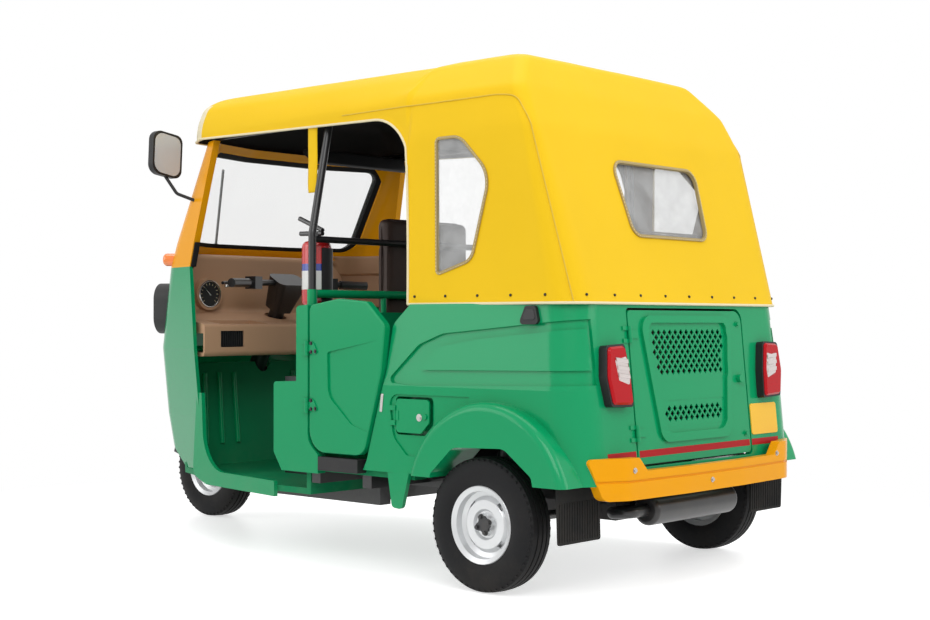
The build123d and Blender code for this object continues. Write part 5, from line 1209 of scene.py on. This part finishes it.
def makeDash(cfg):
    bm = bmesh.new()
    ventBack = facingBack((cfg["rear"] + cfg["ventBack"], 0, 0))
    prism(bm, rounded(rectangle(cfg["ventLow"], cfg["ventHigh"])), ventBack, -cfg["ventThickness"], 0.0)
    dialPlace = facingBack(cfg["dial"])
    face = [(u * cfg["dialRadius"], v * cfg["dialRadius"]) for u, v in rimCircle]
    prism(bm, face, dialPlace, 0.0, cfg["dialThickness"])
    newPiece("dashDarkParts", bm, [blackPlastic], "body")
    slats = []
    start, end = cfg["slatSpan"]
    for k in range(cfg["slats"]):
        y = start + (end - start) * (k + 0.5) / cfg["slats"]
        slats.append(((cfg["rear"] + cfg["slatDepth"], y, cfg["slatHeight"]), (-1, 0, 0), (0, 1, 0)))
    repeated("ventSlats", blockTree, slats, blockSize(*cfg["slat"]), blackPlastic, "body")
    bm = bmesh.new()
    rim = [dialPlace(u * cfg["rimRadius"], v * cfg["rimRadius"], cfg["rimLift"]) for u, v in rimCircle]
    tubeInto(bm, rim, cfg["rimTube"], closed=True)
    # the needle points up and to the left
    needlePlace = facingBack(cfg["dial"], cfg["needleTurn"], cfg["needleTurn"])
    prism(bm, cfg["needle"], needlePlace, *cfg["needleLifts"])
    newPiece("dialRim", bm, [boltSteel], "body")
    ticks = []
    for k in range(cfg["ticks"]):
        turn = cfg["tickSpan"] * (k / (cfg["ticks"] - 1) - 0.5)
        along = Vector((0, math.sin(turn), math.cos(turn)))
        spot = dialPlace(along.y * cfg["tickRadius"], along.z * cfg["tickRadius"], cfg["dialThickness"])
        ticks.append((spot, (-1, 0, 0), along))
    repeated("dialTicks", blockTree, ticks, blockSize(*cfg["tick"]), pipingCream, "body")


makeDash(dashForm)

# fuel lock, and a striker on each door post
lockForm = {"spot": (0.252, 0.505), "size": {"Radius": 0.0075, "Height": 0.005, "Sides": 20}}
setBolts("fuelLock", [fromSide("fuel_flap", *lockForm["spot"], 1)], lockForm["size"], boltSteel,
         "fuel_flap")
strikerForm = {"spot": (0.413, 0.545), "low": (0.408, 0.516), "high": (0.419, 0.574), "corner": 0.004,
               "lean": 0.12, "back": -0.002, "face": 0.003, "bevel": 0.001}


def strikerPlace(panel, side, cfg):
    station, height = cfg["spot"]
    spot = fromSide(panel, station, height, side)[0]
    foot = (rearAxle + height * cfg["lean"], spot.y, 0)
    return planePlace(foot, (1, 0, 0), (-cfg["lean"], 0, 1), (0, side, 0))


strikerPlaces = [strikerPlace("quarter_panel_" + name, side, strikerForm)
                 for name, side in (("left", 1), ("right", -1))]
plates("doorStrikers", rounded(rectangle(strikerForm["low"], strikerForm["high"], strikerForm["corner"]), 3),
       strikerPlaces, strikerForm, boltSteel, "body")

# upright ribs on the mudflaps
ribForm = {"x": rearAxle - 0.2855, "start": 0.428, "pitch": 0.0118, "z": 0.228, "count": 16,
           "rib": (0.11, 0.004, 0.0025)}
ribs = [((ribForm["x"], side * (ribForm["start"] + ribForm["pitch"] * k), ribForm["z"]),
         (-1, 0, 0), (0, 0, 1))
        for side in (1, -1) for k in range(ribForm["count"])]
repeated("mudflapRibs", blockTree, ribs, blockSize(*ribForm["rib"]), blackRubber, "body")

# pressed beads up the toe board: their y, and the height and share of y at each end
beadForm = {"across": (0.46, 0.37, 0.28, 0.19, -0.19, -0.28, -0.37, -0.46), "low": (0.33, 0.86),
            "high": (0.60, 0.80), "start": 0.2, "radius": 0.011, "steps": 6}
bm = bmesh.new()
for y in beadForm["across"]:
    low, high = (surfaceHit("floor_pan", (beadForm["start"], y * share, z), (1, 0, 0))[0]
                 for z, share in (beadForm["low"], beadForm["high"]))
    run = [low.lerp(high, k / beadForm["steps"]) for k in range(beadForm["steps"] + 1)]
    tubeInto(bm, run, beadForm["radius"], sides=10)
newPiece("toeBeads", bm, [bodyGreen], "body")

# black strips at the foot of the screen posts
stripForm = {"station": 1.4995, "low": (0.500, 1.0), "high": (0.521, 1.088), "rake": 0.278, "back": -0.001,
             "face": 0.006}
stripFoot = (rearAxle + stripForm["station"] + stripForm["low"][1] * stripForm["rake"], 0, 0)
stripPlaces = [planePlace(stripFoot, (0, side, 0), (-stripForm["rake"], 0, 1), (-1, 0, 0))
               for side in (1, -1)]
plates("postStrips", rounded(rectangle(stripForm["low"], stripForm["high"])), stripPlaces, stripForm,
       blackRubber, "body")

# beige trim on the inside of the screen surround and cowl, beside and above the dashboard
trimForm = {"rear": 1.505, "front": 1.78, "low": 0.86, "high": 1.072, "columns": 28, "rows": 24, "gap": 0.003,
            "leastHalf": 0.36, "jump": 0.06, "thickness": 0.0024}


def nearestInside(x, z, side):
    # the first inner face beside the middle plane
    near = None
    for node in ("screen_frame", "front_cowl"):
        hit, place, normal, index = cadNodes[node].ray_cast(Vector((x, 0, z)), Vector((0, side, 0)))
        if hit and (near is None or abs(place.y) < abs(near.y)):
            near = place
    return near


def innerSkin(side, cfg):
    bm = bmesh.new()
    spots = {}
    columns, rows = cfg["columns"], cfg["rows"]
    for i in range(columns + 1):
        for k in range(rows + 1):
            x = rearAxle + cfg["rear"] + (cfg["front"] - cfg["rear"]) * i / columns
            near = nearestInside(x, cfg["low"] + (cfg["high"] - cfg["low"]) * k / rows, side)
            if near is not None and abs(near.y) > cfg["leastHalf"]:
                spots[i, k] = bm.verts.new(near - Vector((0, side * cfg["gap"], 0)))
    for i in range(columns):
        for k in range(rows):
            corners = [spots.get(c) for c in ((i, k), (i + 1, k), (i + 1, k + 1), (i, k + 1))]
            if None in corners:
                continue
            reach = [abs(corner.co.y) for corner in corners]
            if max(reach) - min(reach) < cfg["jump"]:
                bm.faces.new(corners)
    bmesh.ops.delete(bm, geom=[v for v in bm.verts if not v.link_faces], context="VERTS")
    bmesh.ops.recalc_face_normals(bm, faces=bm.faces)
    return bm


for name, side in (("cabTrimLeft", 1), ("cabTrimRight", -1)):
    trim = newPiece(name, innerSkin(side, trimForm), [beigePlastic], "body")
    thicken(trim, trimForm["thickness"])
    bake(trim)

# black bracket that clasps the extinguisher from the partition's side
bracketForm = {"axis": (rearAxle + 0.842, 0.50, 0), "radius": 0.0515, "thickness": 0.003, "back": 0.858,
               "face": 1.045, "middle": 228, "half": 72, "steps": 12}


def bracketOutline(cfg):
    steps = cfg["steps"]
    arc = [math.radians(cfg["middle"] + cfg["half"] * k / steps) for k in range(-steps, steps + 1)]
    inner, outer = cfg["radius"], cfg["radius"] + cfg["thickness"]
    return ([(inner * math.cos(a), inner * math.sin(a)) for a in arc]
            + [(outer * math.cos(a), outer * math.sin(a)) for a in reversed(arc)])


upright = planePlace(bracketForm["axis"], (1, 0, 0), (0, 1, 0), (0, 0, 1))
plates("extinguisherBracket", bracketOutline(bracketForm), [upright], bracketForm, blackPlastic,
       "body")

# headlamps: bright reflector and round bowl behind each lens, vertical flutes on its face
headlampForm = {
    "x": frontAxle - 0.130, "y": sideY - 0.268, "z": 0.850, "toe": math.radians(25),
    "halves": (0.0595, 0.082), "corner": 0.042, "back": -0.0115, "backThickness": 0.002, "bowl": 0.048,
    "bowlDepth": 0.022, "bowlLift": 0.003, "bowlRings": 7, "face": 0.028, "flutes": 8, "flutePitch": 0.010,
    "flute": (0.105, 0.009, 0.0022),
}


def headlampPlace(side, cfg):
    across, ahead = math.sin(cfg["toe"]), math.cos(cfg["toe"])
    middle = (cfg["x"], side * cfg["y"], cfg["z"])
    return planePlace(middle, (-across, side * ahead, 0), (0, 0, 1), (ahead, side * across, 0))


def bowlInto(bm, place, aim, cfg):
    rings = []
    for k in range(cfg["bowlRings"]):
        share = 1 - k / cfg["bowlRings"]
        reach = share * cfg["bowl"]
        depth = cfg["back"] + cfg["bowlLift"] + cfg["bowlDepth"] * share * share
        rings.append(ringInto(bm, [(u * reach, v * reach) for u, v in rimCircle], place, depth))
    for face in bridge(bm, rings) + [bm.faces.new(rings[-1])]:
        face.normal_update()
        if face.normal.dot(aim) < 0:
            face.normal_flip()


def makeHeadlamps(cfg):
    bm = bmesh.new()
    flutes = []
    wide, tall = cfg["halves"]
    edge = rounded(rectangle((-wide, -tall), (wide, tall), cfg["corner"]), 8)
    for side in (1, -1):
        place = headlampPlace(side, cfg)
        aim = place(0, 0, 1) - place(0, 0, 0)
        prism(bm, edge, place, cfg["back"], cfg["back"] + cfg["backThickness"])
        bowlInto(bm, place, aim, cfg)
        for k in range(cfg["flutes"]):
            u = (k - (cfg["flutes"] - 1) / 2) * cfg["flutePitch"]
            flutes.append((place(u, 0, cfg["face"]), aim, (0, 0, 1)))
    newPiece("headlampReflectors", bm, [boltSteel], "body")
    repeated("headlampFlutes", domeTree, flutes, blockSize(*cfg["flute"]), lampClear, "body")


makeHeadlamps(headlampForm)

# brake and clutch levers ahead of the grips, between two spans of the handlebar's own points
leverForm = {"rootSpan": (0.18, 0.24), "tipSpan": (0.30, 1.0), "elbow": (0.022, 0.012, -0.006),
             "ahead": 0.027, "drop": 0.012, "short": 0.012, "radius": 0.0045, "knob": 0.007}


def barMiddle(side, span):
    points = [v.co for v in cadNodes["handlebar"].data.vertices if span[0] < side * v.co.y < span[1]]
    return sum(points, Vector()) / len(points)


def makeLevers(cfg):
    bm = bmesh.new()
    for side in (1, -1):
        root, tip = barMiddle(side, cfg["rootSpan"]), barMiddle(side, cfg["tipSpan"])
        x, y, z = cfg["elbow"]
        off = Vector((cfg["ahead"], 0, -cfg["drop"]))
        path = [root, root + Vector((x, side * y, z)), root.lerp(tip, 0.5) + off,
                tip + off - Vector((0, side * cfg["short"], 0))]
        tubeInto(bm, smoothPath(path, 8), cfg["radius"], sides=10)
        bmesh.ops.create_uvsphere(bm, u_segments=14, v_segments=9, radius=cfg["knob"],
                                  matrix=Matrix.Translation(path[-1]))
    newPiece("handLevers", bm, [boltSteel], "steering")


makeLevers(leverForm)
print("trim and small fittings set")


# studio: white floor and backdrop, soft lamps
studio = {
    "floorSize": 40, "floorTone": 0.8, "floorRoughness": 0.45, "floorGlow": 0.6, "shadowReach": (1.3, 2.6),
    "worldTone": 0.47,
    # lamp, place, what it points at, size and power
    "lamps": [("keyLight", (-4.5, 4.5, 5.0), (0, 0, 0.8), 4.0, 200),
              ("fillLight", (3.5, 5.5, 3.0), (0.4, 0, 0.8), 4.0, 105),
              ("backLight", (-6.0, -2.0, 3.5), (-0.6, 0, 0.8), 3.5, 105),
              ("topLight", (0, 0, 6.5), (0, 0, 0), 5.0, 165)],
}


def seenRays(tree):
    # 1 for what the eye sees straight, by reflection or through glass, and 0 for the light on things
    rays = tree.nodes.new("ShaderNodeLightPath").outputs
    seen = mathNode(tree, "MAXIMUM", rays["Is Camera Ray"], rays["Is Glossy Ray"])
    return mathNode(tree, "MAXIMUM", seen, rays["Is Transmission Ray"])


def addFloor(cfg):
    size = cfg["floorSize"]
    mesh = bpy.data.meshes.new("studioFloor")
    corners = [(-size, -size, 0), (size, -size, 0), (size, size, 0), (-size, size, 0)]
    mesh.from_pydata(corners, [], [(0, 1, 2, 3)])
    material, tree, shader, coords = newMaterial("studioFloor")
    tone = cfg["floorTone"]
    setInputs(tree, shader, {"Base Color": (tone, tone, tone, 1), "Roughness": cfg["floorRoughness"]})
    # white to the camera away from the vehicle; near it, the lit floor with its shadow
    distance = tree.nodes.new("ShaderNodeVectorMath")
    distance.operation = "LENGTH"
    link(tree, coords["Object"], distance.inputs[0])
    seen = seenRays(tree)
    far = mathNode(tree, "MULTIPLY", rangeNode(tree, distance.outputs["Value"], *cfg["shadowReach"]), seen)
    strength = mathNode(tree, "MULTIPLY", seen, cfg["floorGlow"])
    glow = newNode(tree, "ShaderNodeEmission", {"Strength": strength})
    lit = tree.nodes.new("ShaderNodeAddShader")
    blend = newNode(tree, "ShaderNodeMixShader", {"Fac": far})
    plain = tree.nodes.new("ShaderNodeEmission")
    out = next(n for n in tree.nodes if n.type == "OUTPUT_MATERIAL")
    for source, socket in ((shader, lit.inputs[0]), (glow, lit.inputs[1]), (lit, blend.inputs[1]),
                           (plain, blend.inputs[2]), (blend, out.inputs["Surface"])):
        link(tree, source.outputs[0], socket)
    mesh.materials.append(material)
    addObject("studioFloor", mesh)


def addLight(cfg):
    for name, place, aim, size, power in cfg["lamps"]:
        lamp = bpy.data.lights.new(name, "AREA")
        lamp.size = size
        lamp.energy = power
        holder = addObject(name, lamp)
        holder.location = place
        holder.rotation_euler = (Vector(aim) - Vector(place)).to_track_quat("-Z", "Y").to_euler()
    world = bpy.data.worlds.new("studioWorld")
    bpy.context.scene.world = world
    world.use_nodes = True
    tree = world.node_tree
    tone = rangeNode(tree, seenRays(tree), 0.0, 1.0, cfg["worldTone"], 1.0)
    setInputs(tree, tree.nodes["Background"], {"Color": (1, 1, 1, 1), "Strength": tone})


addFloor(studio)
addLight(studio)

# photo's own viewpoint: the place and turn of a camera fitted to the wheels and hem
photoCamera = {"place": (-3.822, 3.939, 0.796), "yaw": -48.03, "pitch": 0.47, "focalPixels": 1504.6,
               "framePixels": 930, "sensorWidth": 36}


def addCamera(cfg):
    data = bpy.data.cameras.new("photoCamera")
    data.sensor_width = cfg["sensorWidth"]
    data.lens = cfg["sensorWidth"] * cfg["focalPixels"] / cfg["framePixels"]
    camera = addObject("photoCamera", data)
    camera.location = cfg["place"]
    camera.rotation_euler = (math.radians(90 + cfg["pitch"]), 0, math.radians(cfg["yaw"] - 90))
    bpy.context.scene.camera = camera


addCamera(photoCamera)
bpy.context.scene.view_settings.view_transform = "Standard"
print("studio and camera set")
